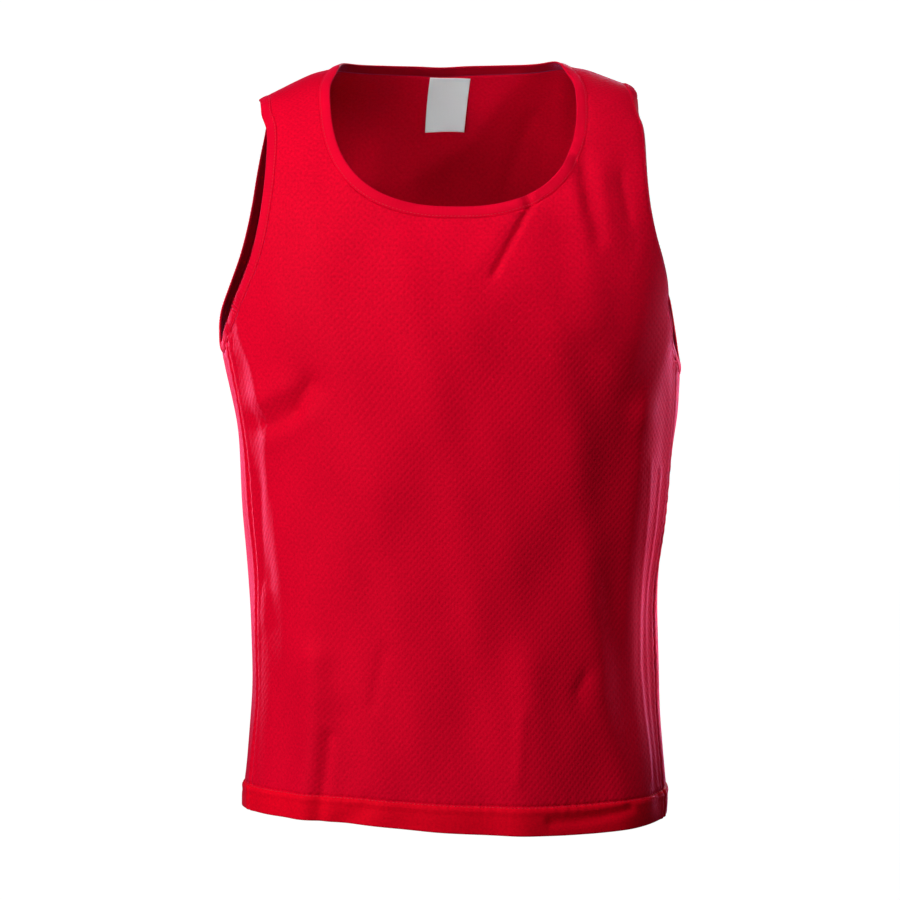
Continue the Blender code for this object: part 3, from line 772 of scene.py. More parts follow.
def taped_edges(panel, net):
    """A panel's edges under a tape: its neckline, and its armholes on the net's first and last
    side, each from the side seam up."""
    size = NET_SIZES[panel]
    first, last = size.side, net.shape[1] - 1 - size.side
    neck_first, neck_last = first + size.strap, last - size.strap
    under = len(HEM_ROWS) - 1 + size.body
    chest = under + size.chest
    neck = np.vstack([
        net[:chest:-1, neck_first],
        net[chest, neck_first : neck_last + 1],
        net[chest + 1 :, neck_last],
    ])
    armhole_first = np.vstack([net[under, : first + 1], net[under + 1 :, first]])
    armhole_last = np.vstack([net[under, : last - 1 : -1], net[under + 1 :, last]])
    return neck, armhole_first, armhole_last


# ---------------------------------------------------------------- sewn relief


def ripple(along, length):
    """An uneven wave along a seam: a cosine whose length drifts by a quarter, and whose
    strength falls to two fifths and rises again."""
    turn = TURN * along / length
    strength = 1 - RIPPLE_FADE + RIPPLE_FADE * np.sin(turn / FADE_RIPPLES + FADE_START)
    return strength * np.cos(turn + RIPPLE_DRIFT * np.sin(turn / DRIFT_RIPPLES))


def armhole_gather(along):
    """How strongly the cloth is drawn up at a way along the armhole from the side seam."""
    return GATHER_LEAST + (1 - GATHER_LEAST) * bell(along, GATHER_REACH)


def banked(banks, off):
    """The sum of a seam's banks and grooves at a distance off it."""
    return sum(bank.rise * bell(off - bank.off, bank.half_width) for bank in banks)


def puckered(pucker, along, off):
    """A seam's ripples at a way along it and a distance off it."""
    return pucker.rise * ripple(along, pucker.length) * bell(off, pucker.reach)


def distance_to(line, places):
    """How far each place lies from a line, and how far along the line its nearest point is."""
    length = way_along(line)
    marks = np.linspace(0.0, length[-1], EDGE_MARKS)
    far = np.linalg.norm(places[:, None] - read_off(marks, length, line)[None], axis=-1)
    nearest = far.argmin(axis=1)
    return far[np.arange(len(places)), nearest], marks[nearest]


def hem_relief(above, around):
    """The turned-up hem stands out below its stitch line, which is drawn in and puckered."""
    off = above - HEM_STITCH
    below = 0.5 - 0.5 * np.tanh(off / HEM_STEP)
    stand = HEM_STAND * below * share_of(above / HEM_EASE)
    return stand + banked(HEM_BANKS, off) + puckered(HEM_PUCKER, around, off)


def side_seam_relief(around, height):
    """The seam is drawn in between two soft ridges, over the seam allowance inside."""
    off = np.abs(np.abs(around) - SIDE_SEAM)
    return banked(SIDE_BANKS, off) + puckered(SIDE_PUCKER, height, off)


def shoulder_seam_relief(around, height):
    """A drawn-in line across the top of each shoulder."""
    _, x = width_at(around, height)
    return banked(SHOULDER_BANKS, crest(x) - height)


def binding_relief(panel, net, around, height):
    """The cloth puckers beside each binding, most of all under the arms."""
    neck, *armholes = taped_edges(panel, net)
    places = stack(around, height)
    total = np.zeros(len(places))
    for line in armholes:
        near = np.abs(around - line[:, 0].mean()) < ARMHOLE_NEAR
        far, along = distance_to(line, places[near])
        total[near] += armhole_gather(along) * puckered(ARMHOLE_PUCKER, along, far)
        total[near] += banked(BOUND_BANKS, far)
    near = height > neck[:, 1].min() - NECK_NEAR
    far, along = distance_to(neck, places[near])
    total[near] += puckered(NECK_PUCKER, along, far) + banked(BOUND_BANKS, far)
    return total


# ---------------------------------------------------------------- meshes


def grid_faces(present):
    """Four-sided faces between a net's present points, and each point's number."""
    number = np.full(present.shape, -1)
    number[present] = np.arange(present.sum())
    faces = stack(number[:-1, :-1], number[:-1, 1:], number[1:, 1:], number[1:, :-1])
    return faces[(faces >= 0).all(axis=-1)]


def closed_wall(outer, inner, faces):
    """Joins an outer and an inner face by the rim round their open edges."""
    edges = np.concatenate([faces[:, [i, (i + 1) % 4]] for i in range(4)])
    key = edges[:, 0].astype(np.int64) * len(outer) + edges[:, 1]
    back = edges[:, 1].astype(np.int64) * len(outer) + edges[:, 0]
    rim = edges[~np.isin(key, back)]
    under = rim + len(outer)
    sides = stack(rim[:, 1], rim[:, 0], under[:, 0], under[:, 1])
    return np.vstack([outer, inner]), np.vstack([faces, faces[:, ::-1] + len(outer), sides])


def ring_faces(count, width):
    """Four-sided faces over a closed ring of closed outlines."""
    number = np.arange(count * width).reshape(count, width)
    after = np.roll(number, -1, axis=0)
    corners = (number, np.roll(number, -1, axis=1), np.roll(after, -1, axis=1), after)
    return stack(*corners).reshape(-1, 4)


def ring_uv(lengths, widths):
    """UV corners for those faces: the way round, and the way across, each with its end value."""
    i, j = np.meshgrid(np.arange(len(lengths) - 1), np.arange(len(widths) - 1), indexing="ij")
    corners = ((i, j), (i, j + 1), (i + 1, j + 1), (i + 1, j))
    uv = [stack(lengths[row], widths[column]) for row, column in corners]
    return np.stack(uv, axis=-2).reshape(-1, 4, 2)


def add_piece(name, points, faces, corner_uv, material, slot, **masks):
    """A smooth mesh piece at the origin, with its UV map in metres, riding on the body.

    Each mask is a value from 0 to 1 at every point, which its material can read by name.
    """
    mesh = bpy.data.meshes.new(name)
    mesh.vertices.add(len(points))
    mesh.vertices.foreach_set("co", np.ascontiguousarray(points, dtype=np.float32).ravel())
    mesh.loops.add(faces.size)
    mesh.loops.foreach_set("vertex_index", faces.astype(np.int32).ravel())
    mesh.polygons.add(len(faces))
    starts = np.arange(0, faces.size, faces.shape[1], dtype=np.int32)
    mesh.polygons.foreach_set("loop_start", starts)
    mesh.update(calc_edges=True)
    mesh.shade_smooth()
    layer = mesh.uv_layers.new(name="Cloth")
    layer.uv.foreach_set("vector", corner_uv.astype(np.float32).ravel())
    for mask, values in masks.items():
        attribute = mesh.attributes.new(mask, "FLOAT", "POINT")
        attribute.data.foreach_set("value", values.astype(np.float32))
    mesh.materials.append(material)
    piece = bpy.data.objects.new(name, mesh)
    bpy.context.scene.collection.objects.link(piece)
    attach(piece, BODY)
    return piece


def check_fit(points, node):
    """Stops the script if a piece's points depart from the box of the solid they stand for."""
    low, high = (np.array(corner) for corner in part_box(node))
    off = max(np.abs(points.min(axis=0) - low).max(), np.abs(points.max(axis=0) - high).max())
    if off > FIT_ALLOWED:
        raise RuntimeError(f"the piece for {node} lies {off:.4f} m off that solid's box")


def add_panel(panel, settings, material):
    """A draped wall of single cloth with its turned-up hem.

    The outer face is the cloth moved out by the sewn relief. The inner face lies one wall
    further in along the form's normals, and the wall rounds off to nothing at the hem's fold.
    """
    flat = panel_net(panel)
    above = on_form(flat, panel)[..., 1] - HEM_HEIGHT
    net = lift_hem(on_form(flat, panel))
    present = ~np.isnan(net[..., 0])
    around, height = net[present].T
    above = above[present]
    relief = (
        hem_relief(above, np.abs(wrapped(around)))
        + side_seam_relief(wrapped(around), height)
        + shoulder_seam_relief(around, height)
        + binding_relief(panel, net, around, height)
    )
    outward = normals(form, around, height)
    middle = cloth(around, height, settings.crease_depth) + outward * relief[:, None]
    faces = grid_faces(present)
    wall = np.where(above < HEM_DEPTH, HEM_WALL, WALL)
    half = HEM_WALL / 2
    round_off = np.sqrt(np.clip(1 - (1 - share_of(above / half)) ** 2, HEM_FOLD_LEAST, 1.0))
    outer = middle - outward * (half * (1 - round_off))[:, None]
    inner = outer - outward * (wall * round_off)[:, None]
    points, all_faces = closed_wall(outer, inner, faces)
    uv = stack(around, height)
    corner_uv = np.vstack([uv, uv])[all_faces]
    hem = share_of(0.5 + (HEM_STITCH - above) / HEM_BLUR)
    # inside marks the inner face, which its material darkens with painted shade
    masks = {"hem": np.tile(hem, 2), "inside": np.repeat([0.0, 1.0], len(outer))}
    name = f"cloth_{panel}"
    piece = add_piece(name, points, all_faces, corner_uv, material, "mesh_cloth", **masks)
    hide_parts(panel)
    check_fit(points, panel)


def edge_line(line, crease_depth):
    """A line of places as points with their outward normals and their way along."""
    around, height = line.T
    points = cloth(around, height, crease_depth)
    return np.column_stack([points, normals(form, around, height), way_along(line)])


class Ring:
    """A closed line on the cloth, at even steps, with two directions square to it.

    points   where it runs
    inward   into the opening
    outward  out of the cloth
    along    the way from the nearer of the two seams that it crosses
    """

    def __init__(self, one, other, count, crease_depth):
        first, second = edge_line(one, crease_depth), edge_line(other, crease_depth)
        second[:, -1] = second[-1, -1] - second[:, -1]
        ring = np.vstack([first, second[1:-1]])
        ring[0] = (first[0] + second[-1]) / 2
        ring[len(first) - 1] = (first[-1] + second[0]) / 2
        closed = np.vstack([ring, ring[:1]])
        self.length = way_along(closed[:, :3])[-1]
        ring = cut(closed, np.linspace(0.0, 1.0, count + 1), 3)[:-1]
        self.points, outward, self.along = ring[:, :3], ring[:, 3:-1], ring[:, -1]
        ahead = unit(np.roll(self.points, -1, axis=0) - np.roll(self.points, 1, axis=0))
        self.inward = unit(np.cross(outward, ahead))
        self.outward = unit(np.cross(ahead, self.inward))

    def faces_opening(self):
        """Whether inward points into the opening, which depends on the way the ring runs."""
        return np.sum(self.inward * (self.points.mean(axis=0) - self.points)) > 0

    def turn_back(self, angles):
        """Turns both directions about the ring by an angle at each point, inward going under."""
        cos, sin = np.cos(angles)[:, None], np.sin(angles)[:, None]
        inward, outward = self.inward, self.outward
        self.inward = inward * cos - outward * sin
        self.outward = outward * cos + inward * sin

    def shifted(self, reach, rise):
        """Points moved by a reach into the opening and a rise out of the cloth."""
        return (
            self.points[:, None]
            + self.inward[:, None] * reach[..., None]
            + self.outward[:, None] * rise[..., None]
        )


def opening_ring(name, one, other, count, crease_depth):
    """The ring along two edges that meet at their ends, running so that inward is inward.
    The tape at the front of the right armhole is turned back."""
    ring = Ring(one, other, count, crease_depth)
    if not ring.faces_opening():
        ring = Ring(one[::-1], other[::-1], count, crease_depth)
    if name == "armhole_binding_right":
        turned = smooth(ring.points[:, 2], PULLS, "height", "turned_right")
        at_front = share_of(0.5 - ring.points[:, 1] / TURN_FADES)
        ring.turn_back(np.radians(turned * at_front))
    return ring


def tape_outline(dome):
    """Across a tape: (reach, rise) along its underside, round its folded edge and back over
    its domed face, which has a narrow groove where it is stitched down beside the panel."""
    half = TAPE_THICKNESS / 2
    bottom = TAPE_RISE - TAPE_THICKNESS
    near = np.linspace(0.0, TAPE_NEAR, TAPE_NEAR_POINTS)
    past = np.linspace(TAPE_PAST, TAPE_WIDTH - half, TAPE_PAST_POINTS)
    reach = np.concatenate([near, past])
    swell = dome * np.sin(math.pi * reach / TAPE_WIDTH) ** TAPE_ROUNDNESS
    face = stack(reach, TAPE_RISE + swell + banked(TAPE_BANKS, reach))
    top = face[-1, 1]
    turn = np.linspace(-math.pi / 2, math.pi / 2, TAPE_FOLD_POINTS)[1:-1]
    fold = stack(
        TAPE_WIDTH - half + half * np.cos(turn),
        (top + bottom) / 2 + (top - bottom) / 2 * np.sin(turn),
    )
    under = np.linspace(0.0, TAPE_WIDTH - half, TAPE_UNDER_POINTS)
    return np.vstack([stack(under, np.full_like(under, bottom)), fold, face[::-1]])


def add_tape(name, ring, gather, settings, material):
    """A folded tape: its outline carried round a ring, reaching into the opening.

    gather says how strongly it is drawn up into short ribs at each point of the ring. They
    stand on its face and scallop its folded edge.
    """
    outline = tape_outline(settings.binding_dome)
    reach, rise = outline.T
    ribs = settings.rib_depth * (ripple(ring.along, settings.rib_length) * gather)[:, None]
    on_face = (rise > TAPE_RISE - TAPE_THICKNESS / 2) * share_of(reach / TAPE_RIBS_START)
    at_edge = share_of((reach / TAPE_WIDTH - TAPE_SCALLOPS_START) / (1 - TAPE_SCALLOPS_START))
    points = ring.shifted(reach + ribs * at_edge, rise + ribs * on_face).reshape(-1, 3)
    count = len(ring.points)
    widths = way_along(np.vstack([outline, outline[:1]]))
    uv = ring_uv(np.linspace(0.0, ring.length, count + 1), widths)
    faces = ring_faces(count, len(outline))
    # inside marks the tape's underside, which its material darkens with painted shade
    depth = (TAPE_RISE - rise) / TAPE_THICKNESS
    inside = share_of((depth - TAPE_INSIDE_FROM) / (TAPE_INSIDE_TO - TAPE_INSIDE_FROM))
    # The hollows between the ribs, which the material darkens with painted shade
    valleys = share_of(-ribs / settings.rib_depth) * on_face
    masks = {"inside": np.tile(inside, count), "valley": valleys.ravel()}
    piece = add_piece(f"tape_{name}", points, faces, uv, material, "binding_cloth", **masks)
    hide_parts(name)
    check_fit(points, name)


def label_surface(settings):
    """A slightly turned rectangle inside the back, sewn at its top, whose foot and lower left
    corner stand off the cloth. Lift grows with the square of the way down."""
    across = np.linspace(LABEL_WIDTH / 2, -LABEL_WIDTH / 2, LABEL_NET[0])
    down = np.linspace(LABEL_LENGTH, 0.0, LABEL_NET[1])
    across, down = np.meshgrid(across, down)
    top = place("back", 0.0, NECK_BACK)[1] - LABEL_DROP
    around = LABEL_SHIFT + across - LABEL_TILT * down
    height = top - down - LABEL_TILT * (LABEL_WIDTH / 2 + across)
    around = HALF_GIRTH - around
    share, left = down / LABEL_LENGTH, 0.5 - across / LABEL_WIDTH
    lift = settings.label_lift * (LABEL_FOOT * share**2 + left**2 * share**3)
    curl = LABEL_CURL * np.sin(math.pi * (across / LABEL_WIDTH + 0.5)) * share
    depth = WALL + LABEL_CLEARANCE + lift + curl
    outward = normals(form, around, height)
    points = cloth(around, height, settings.crease_depth) - outward * depth[..., None]
    return points, outward, stack(across, -down)


def add_label(settings, material):
    """The blank label: its surface with a thin wall behind it."""
    points, outward, uv = label_surface(settings)
    faces = grid_faces(np.ones(points.shape[:2], dtype=bool))
    outer = points.reshape(-1, 3)
    inner = outer - outward.reshape(-1, 3) * LABEL_THICKNESS
    all_points, all_faces = closed_wall(outer, inner, faces)
    uv = np.vstack([uv.reshape(-1, 2)] * 2)[all_faces]
    piece = add_piece("label_satin", all_points, all_faces, uv, material, "label_cloth")
    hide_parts("label")


def add_stitches(name, points, outward, settings, material, slot):
    """Thread stitches along a line: short capsules at even steps, sunk into the cloth.

    Each is a ring of points carried through sections along it, whose radius is least at its
    ends, where it also dips furthest into the cloth: with the fourth power of the way out.
    """
    length = way_along(points)
    count = int(length[-1] / settings.stitch_length)
    pitch = length[-1] / count
    marks = (np.arange(count) + 0.5) * pitch
    half = STITCH_SHARE * pitch
    ahead = unit(read_off(marks + half, length, points) - read_off(marks - half, length, points))
    side = unit(np.cross(read_off(marks, length, outward), ahead))
    out = np.cross(ahead, side)
    radius = settings.thread_width / 2
    sections = len(STITCH_SECTIONS)
    section = np.repeat(STITCH_SECTIONS, STITCH_SIDES)
    thick = np.repeat(STITCH_THICKNESS, STITCH_SIDES)
    turn = np.tile(np.arange(STITCH_SIDES) * TURN / STITCH_SIDES, sections)
    beside = radius * thick * np.cos(turn)
    above = radius * (thick * np.sin(turn) + STITCH_RISE - STITCH_DIVE * section**4)
    stitch = (
        read_off(marks, length, points)[:, None]
        + ahead[:, None] * (section * half)[:, None]
        + side[:, None] * beside[:, None]
        + out[:, None] * above[:, None]
    )
    number = np.arange(sections * STITCH_SIDES).reshape(sections, STITCH_SIDES)
    after = np.roll(number, -1, axis=1)
    walls = stack(number[:-1], after[:-1], after[1:], number[1:]).reshape(-1, 4)
    # Two four-sided faces close each end's six sides.
    first = number[0][[[0, 5, 4, 3], [0, 3, 2, 1]]]
    last = number[-1][[[0, 1, 2, 3], [0, 3, 4, 5]]]
    one = np.vstack([walls, first, last])
    faces = (one + stitch.shape[1] * np.arange(count)[:, None, None]).reshape(-1, 4)
    points = stitch.reshape(-1, 3)
    add_piece(name, points, faces, points[faces][..., [0, 2]], material, slot)


# ---------------------------------------------------------------- materials


def node_group(name, values, results):
    """A new shader node group. A place and some values go in: a number is its own default, and
    None stands for a colour. Numbers come out, and a colour under the name Colour."""
    group = bpy.data.node_groups.new(name, "ShaderNodeTree")
    add_socket = group.interface.new_socket
    add_socket("Place", in_out="INPUT", socket_type="NodeSocketVector")
    for socket, default in values.items():
        if default is None:
            add_socket(socket, in_out="INPUT", socket_type="NodeSocketColor")
        else:
            made = add_socket(socket, in_out="INPUT", socket_type="NodeSocketFloat")
            made.default_value = default
    for socket in results:
        kind = "NodeSocketColor" if socket == "Colour" else "NodeSocketFloat"
        add_socket(socket, in_out="OUTPUT", socket_type=kind)
    given = group.nodes.new("NodeGroupInput").outputs
    return group, Wiring(group), given, group.nodes.new("NodeGroupOutput").inputs


class Wiring:
    """Short ways to add nodes to a tree and link them."""

    def __init__(self, tree):
        self.tree = tree

    def set_input(self, socket, value):
        """Links a socket to another, or sets it to a plain value."""
        if isinstance(value, bpy.types.NodeSocket):
            self.tree.links.new(value, socket)
        else:
            socket.default_value = value

    def node(self, kind, inputs=None, **settings):
        """A new node, with its own settings, and with inputs linked or set by their names."""
        made = self.tree.nodes.new(kind)
        for key, value in settings.items():
            setattr(made, key, value)
        for key, value in (inputs or {}).items():
            self.set_input(made.inputs[key], value)
        return made

    def math(self, operation, *values):
        return self.node("ShaderNodeMath", dict(enumerate(values)), operation=operation).outputs[0]

    def plus(self, one, other):
        return self.math("ADD", one, other)

    def minus(self, one, other):
        return self.math("SUBTRACT", one, other)

    def times(self, one, other):
        return self.math("MULTIPLY", one, other)

    def ramp(self, value, low, high, to_low=0.0, to_high=1.0):
        """Smooth steps from one value to another."""
        ends = {"From Min": low, "From Max": high, "To Min": to_low, "To Max": to_high}
        inputs = {"Value": value, **ends}
        return self.node("ShaderNodeMapRange", inputs, interpolation_type="SMOOTHSTEP").outputs[0]

    def mix(self, share, one, other, blend="MIX"):
        made = self.node("ShaderNodeMix", data_type="RGBA", blend_type=blend)
        for key, value in ((0, share), (6, one), (7, other)):
            self.set_input(made.inputs[key], value)
        return made.outputs[2]

    def noise(self, place, scale, detail):
        inputs = {"Vector": place, "Scale": scale, "Detail": detail}
        return self.node("ShaderNodeTexNoise", inputs).outputs["Fac"]

    def split(self, place):
        """The x and y of a place."""
        return self.node("ShaderNodeSeparateXYZ", {"Vector": place}).outputs[:2]

    def mask(self, name):
        """A mask of the piece's own, by its name."""
        return self.node("ShaderNodeAttribute", attribute_name=name).outputs["Fac"]

    def seen(self):
        """One where the camera looks straight at something, and zero for light that falls."""
        return self.node("ShaderNodeLightPath").outputs["Is Camera Ray"]

    def group(self, group, **inputs):
        inputs = {key.replace("_", " "): value for key, value in inputs.items()}
        return self.node("ShaderNodeGroup", node_tree=group, inputs=inputs).outputs


def pinhole_group():
    """A staggered lattice of pinholes between crossing ridges.

    With U and V in lattice cells, the waves cos 2pi(U-V) and cos 2pi(U+V) run along the two
    diagonals. Their sum peaks on the holes and is lowest on the knots between them.
    """
    group, w, given, result = node_group(
        "Pinhole Mesh",
        {"Cell Across": 0.0063, "Cell Up": 0.0066, "Hole": 0.55, "Slant": 0.64},
        ("Hole", "Height"),
    )
    x, y = w.split(given["Place"])
    wander = w.noise(given["Place"], scale=60.0, detail=2.0)
    sway = w.times(w.minus(wander, 0.5), MESH_SWAY)
    across = w.math("DIVIDE", w.plus(x, sway), given["Cell Across"])
    up = w.math("DIVIDE", w.minus(y, sway), given["Cell Up"])
    rising = w.math("COSINE", w.times(w.minus(across, up), TURN))
    falling = w.math("COSINE", w.times(w.plus(across, up), TURN))
    straighter = w.times(falling, w.minus(1.0, given["Slant"]))
    lattice = w.plus(w.times(rising, given["Slant"]), straighter)
    hole = w.ramp(lattice, given["Hole"], HOLE_DEEPEST)
    w.set_input(result["Hole"], hole)
    wales = w.math("COSINE", w.times(across, 2 * TURN))
    ridges = w.math("MULTIPLY_ADD", wales, -WALE_RELIEF, w.times(lattice, -RIDGE_RELIEF))
    w.set_input(result["Height"], w.math("MULTIPLY_ADD", hole, -HOLE_RELIEF, ridges))
    return group


def yarn_group():
    """Fine knitted yarn: slanted stitches in rows, with the size of one stitch as an input.

    Its wales are the size of a sine across, and its courses a sine up that the wales bend.
    """
    group, w, given, result = node_group("Knitted Yarn", {"Stitch": MESH_STITCH}, ("Height",))
    x, y = w.split(given["Place"])
    across = w.math("DIVIDE", x, given["Stitch"])
    up = w.math("DIVIDE", y, given["Stitch"])
    wale = w.math("ABSOLUTE", w.math("SINE", w.times(across, math.pi)))
    course = w.math("SINE", w.times(w.plus(up, w.times(wale, COURSE_BEND)), TURN))
    w.set_input(result["Height"], w.plus(wale, w.times(course, COURSE_RELIEF)))
    return group


def fading_group():
    """Uneven dye: a colour made darker and lighter in large soft patches and fine specks."""
    group, w, given, result = node_group(
        "Uneven Dye", {"Colour": None, "Depth": 0.08, "Specks": 0.0}, ("Colour",)
    )
    patches = w.noise(given["Place"], scale=9.0, detail=4.0)
    shade = w.ramp(patches, low=0.3, high=0.7)
    specks = w.minus(w.noise(given["Place"], scale=420.0, detail=3.0), 0.5)
    faded = w.minus(1.0, w.times(shade, given["Depth"]))
    dark = w.minus(faded, w.times(specks, given["Specks"]))
    tone = w.node("ShaderNodeCombineColor", {"Red": dark, "Green": dark, "Blue": dark})
    w.set_input(result["Colour"], w.mix(1.0, given["Colour"], tone.outputs[0], "MULTIPLY"))
    return group


def finish(shader, **values):
    """Sets a shader's plain values."""
    for key, value in values.items():
        shader.inputs[key.replace("_", " ")].default_value = value


class Cloth:
    """A new material for cloth: its shader, its wiring and its place in metres."""

    def __init__(self, name, groups):
        self.groups = groups
        material = bpy.data.materials.new(name)
        material.use_nodes = True
        self.shader = material.node_tree.nodes["Principled BSDF"]
        self.w = Wiring(material.node_tree)
        self.uv = self.w.node("ShaderNodeUVMap", uv_map="Cloth").outputs["UV"]

    def dyed(self, colour, depth, specks=0.0):
        """A colour with uneven dye."""
        dye = {"Colour": (*colour, 1.0), "Depth": depth, "Specks": specks}
        return self.w.group(self.groups["fading"], Place=self.uv, **dye)["Colour"]

    def yarn(self, stitch):
        """Height of the yarn."""
        return self.w.group(self.groups["yarn"], Place=self.uv, Stitch=stitch)["Height"]

    def colour(self, value):
        self.w.set_input(self.shader.inputs["Base Color"], value)

    def relief(self, height, strength, distance):
        """Fine relief, from a height and the distance that it stands for."""
        inputs = {"Height": height, "Strength": strength, "Distance": distance}
        bump = self.w.node("ShaderNodeBump", inputs)
        self.w.set_input(self.shader.inputs["Normal"], bump.outputs["Normal"])


def mesh_cloth_material(name, groups, settings):
    """Mesh cloth: dimpled and pierced, plainer over the doubled hem, painted shade in holes and
    inside.
    """
    made = Cloth(name, groups)
    w = made.w
    cell = {"Cell_Across": settings.cell_across, "Cell_Up": settings.cell_up}
    mesh = w.group(groups["pinhole"], Place=made.uv, **cell)
    single = w.minus(1.0, w.times(w.mask("hem"), HEM_PLAIN))
    # The pinholes are painted darker: painted shade for the shaded inside seen through them
    hole_shade = (*[HOLE_SHADE_TONE * share for share in settings.mesh_colour], 1.0)
    holes = w.times(w.times(mesh["Hole"], settings.hole_shade_depth), single)
    pierced = w.mix(holes, made.dyed(settings.mesh_colour, depth=0.08, specks=0.5), hole_shade)
    # The inner face is darkened towards black: painted shade
    painted_shade = w.times(w.mask("inside"), 1.0 - settings.inside_shade_tone)
    tinted = w.mix(w.mask("hem"), pierced, HEM_TINT, "MULTIPLY")
    made.colour(w.mix(painted_shade, tinted, BLACK))
    ridges = w.times(w.times(mesh["Height"], MESH_RELIEF), single)
    height = w.plus(ridges, w.times(made.yarn(MESH_STITCH), YARN_RELIEF))
    made.relief(height, strength=0.26, distance=0.0008)
    finish(made.shader, Roughness=0.6, **DRY_CLOTH)


def tape_material(name, groups, settings):
    """Plain knitted tape, with painted shade between its ribs and on its inner face."""
    made = Cloth(name, groups)
    w = made.w
    # Painted shade on the tape's underside and in the hollows between its ribs
    under = w.times(w.mask("inside"), 1.0 - 0.5 * settings.inside_shade_tone)
    painted_shade = w.math("MAXIMUM", under, w.times(w.mask("valley"), VALLEY_SHADE))
    made.colour(w.mix(painted_shade, made.dyed(settings.binding_colour, depth=0.08), BLACK))
    made.relief(made.yarn(TAPE_STITCH), strength=0.35, distance=0.0004)
    finish(made.shader, Roughness=0.55, **DRY_CLOTH)


def label_material(name, groups, settings):
    """Woven satin: fine level ribs, with a slightly uneven tone, and nothing printed on it."""
    made = Cloth(name, groups)
    w = made.w
    made.colour(made.dyed(settings.label_colour, depth=0.05))
    ribs = w.math("SINE", w.times(w.split(made.uv)[1], TURN / SATIN_RIB))
    threads = w.noise(made.uv, scale=900.0, detail=2.0)
    made.relief(w.plus(w.times(ribs, 0.5), threads), strength=0.3, distance=0.0002)
    finish(made.shader, Roughness=0.42, Sheen_Weight=0.1)


def thread_material(name, groups, settings):
    """Twisted thread: slanted plies along each stitch."""
    made = Cloth(name, groups)
    made.colour(made.dyed(settings.thread_colour, depth=0.06))
    place_node = made.w.node("ShaderNodeTexCoord")
    inputs = {"Vector": place_node.outputs["Object"], "Scale": 900.0, "Distortion": 0.4}
    plies = made.w.node("ShaderNodeTexWave", inputs, bands_direction="DIAGONAL")
    made.relief(plies.outputs["Fac"], strength=0.3, distance=0.0001)
    finish(made.shader, Roughness=0.5)


MAKERS = {
    "Red pinhole mesh": mesh_cloth_material,
    "Red binding tape": tape_material,
    "Blank satin label": label_material,
    "Red sewing thread": thread_material,
}


def finished(name, settings):
    """One of the finishes. All are made at the first call and shared by the operators."""
    if name not in bpy.data.materials:
        groups = {"pinhole": pinhole_group(), "yarn": yarn_group(), "fading": fading_group()}
        for each, make in MAKERS.items():
            make(each, groups, settings)
    return bpy.data.materials[name]


# ---------------------------------------------------------------- settings


COLOUR = {"subtype": "COLOR", "size": 3, "min": 0.0, "max": 1.0}
SHARE = {"subtype": "FACTOR", "min": 0.0, "max": 1.0}
POWER = {"min": 0.0, "max": 1000.0}


class BibClothSettings(bpy.types.PropertyGroup):
    """Sizes and colours of the bib's cloth."""

    mesh_colour: FloatVectorProperty(
        name="Mesh colour", description="Dye of the panels' mesh cloth",
        default=(0.80, 0.001, 0.024), **COLOUR,
    )
    binding_colour: FloatVectorProperty(
        name="Binding colour", description="Dye of the tape at the neck and armholes",
        default=(0.86, 0.001, 0.028), **COLOUR,
    )
    label_colour: FloatVectorProperty(
        name="Label colour", description="Tone of the blank satin label",
        default=(0.82, 0.96, 0.98), **COLOUR,
    )
    thread_colour: FloatVectorProperty(
        name="Thread colour", description="Dye of the sewing thread",
        default=(0.72, 0.002, 0.022), **COLOUR,
    )
    cell_across: FloatProperty(
        name="Mesh cell across", description="Width of one cell of the pinhole lattice",
        unit="LENGTH", min=0.002, max=0.02, default=0.00575,
    )
    cell_up: FloatProperty(
        name="Mesh cell up", description="Height of one cell of the pinhole lattice",
        unit="LENGTH", min=0.002, max=0.02, default=0.00630,
    )
    # The strength of the painted shade in the pinholes
    hole_shade_depth: FloatProperty(
        name="Hole depth", description="How much darker the pinholes are than the cloth",
        default=0.13, **SHARE,
    )
    # Painted shade on the inner faces of the panels and tapes
    inside_shade_tone: FloatProperty(
        name="Inside tone", description="Brightness of the cloth's inner face against its outer",
        default=0.72, **SHARE,
    )
    crease_depth: FloatProperty(
        name="Crease depth", description="How strongly the fine creases show, as a factor",
        min=0.0, max=3.0, default=1.0,
    )
    binding_dome: FloatProperty(
        name="Binding dome", description="How far the binding's face swells between its edges",
        unit="LENGTH", min=0.0, max=0.002, default=0.0005,
    )
    rib_length: FloatProperty(
        name="Rib length", description="Spacing of the gathered ribs on the armhole bindings",
        unit="LENGTH", min=0.001, max=0.02, default=0.0031,
    )
    rib_depth: FloatProperty(
        name="Rib depth", description="Height of the gathered ribs on the armhole bindings",
        unit="LENGTH", min=0.0, max=0.002, default=0.0007,
    )
    label_lift: FloatProperty(
        name="Label lift", description="How far the label's foot stands off the cloth",
        unit="LENGTH", min=0.0, max=0.02, default=0.0050,
    )
    thread_width: FloatProperty(
        name="Thread width", description="Width of a stitch's thread",
        unit="LENGTH", min=0.0002, max=0.002, default=0.0006,
    )
    stitch_length: FloatProperty(
        name="Stitch length", description="From one stitch to the next",
        unit="LENGTH", min=0.001, max=0.01, default=0.0031,
    )


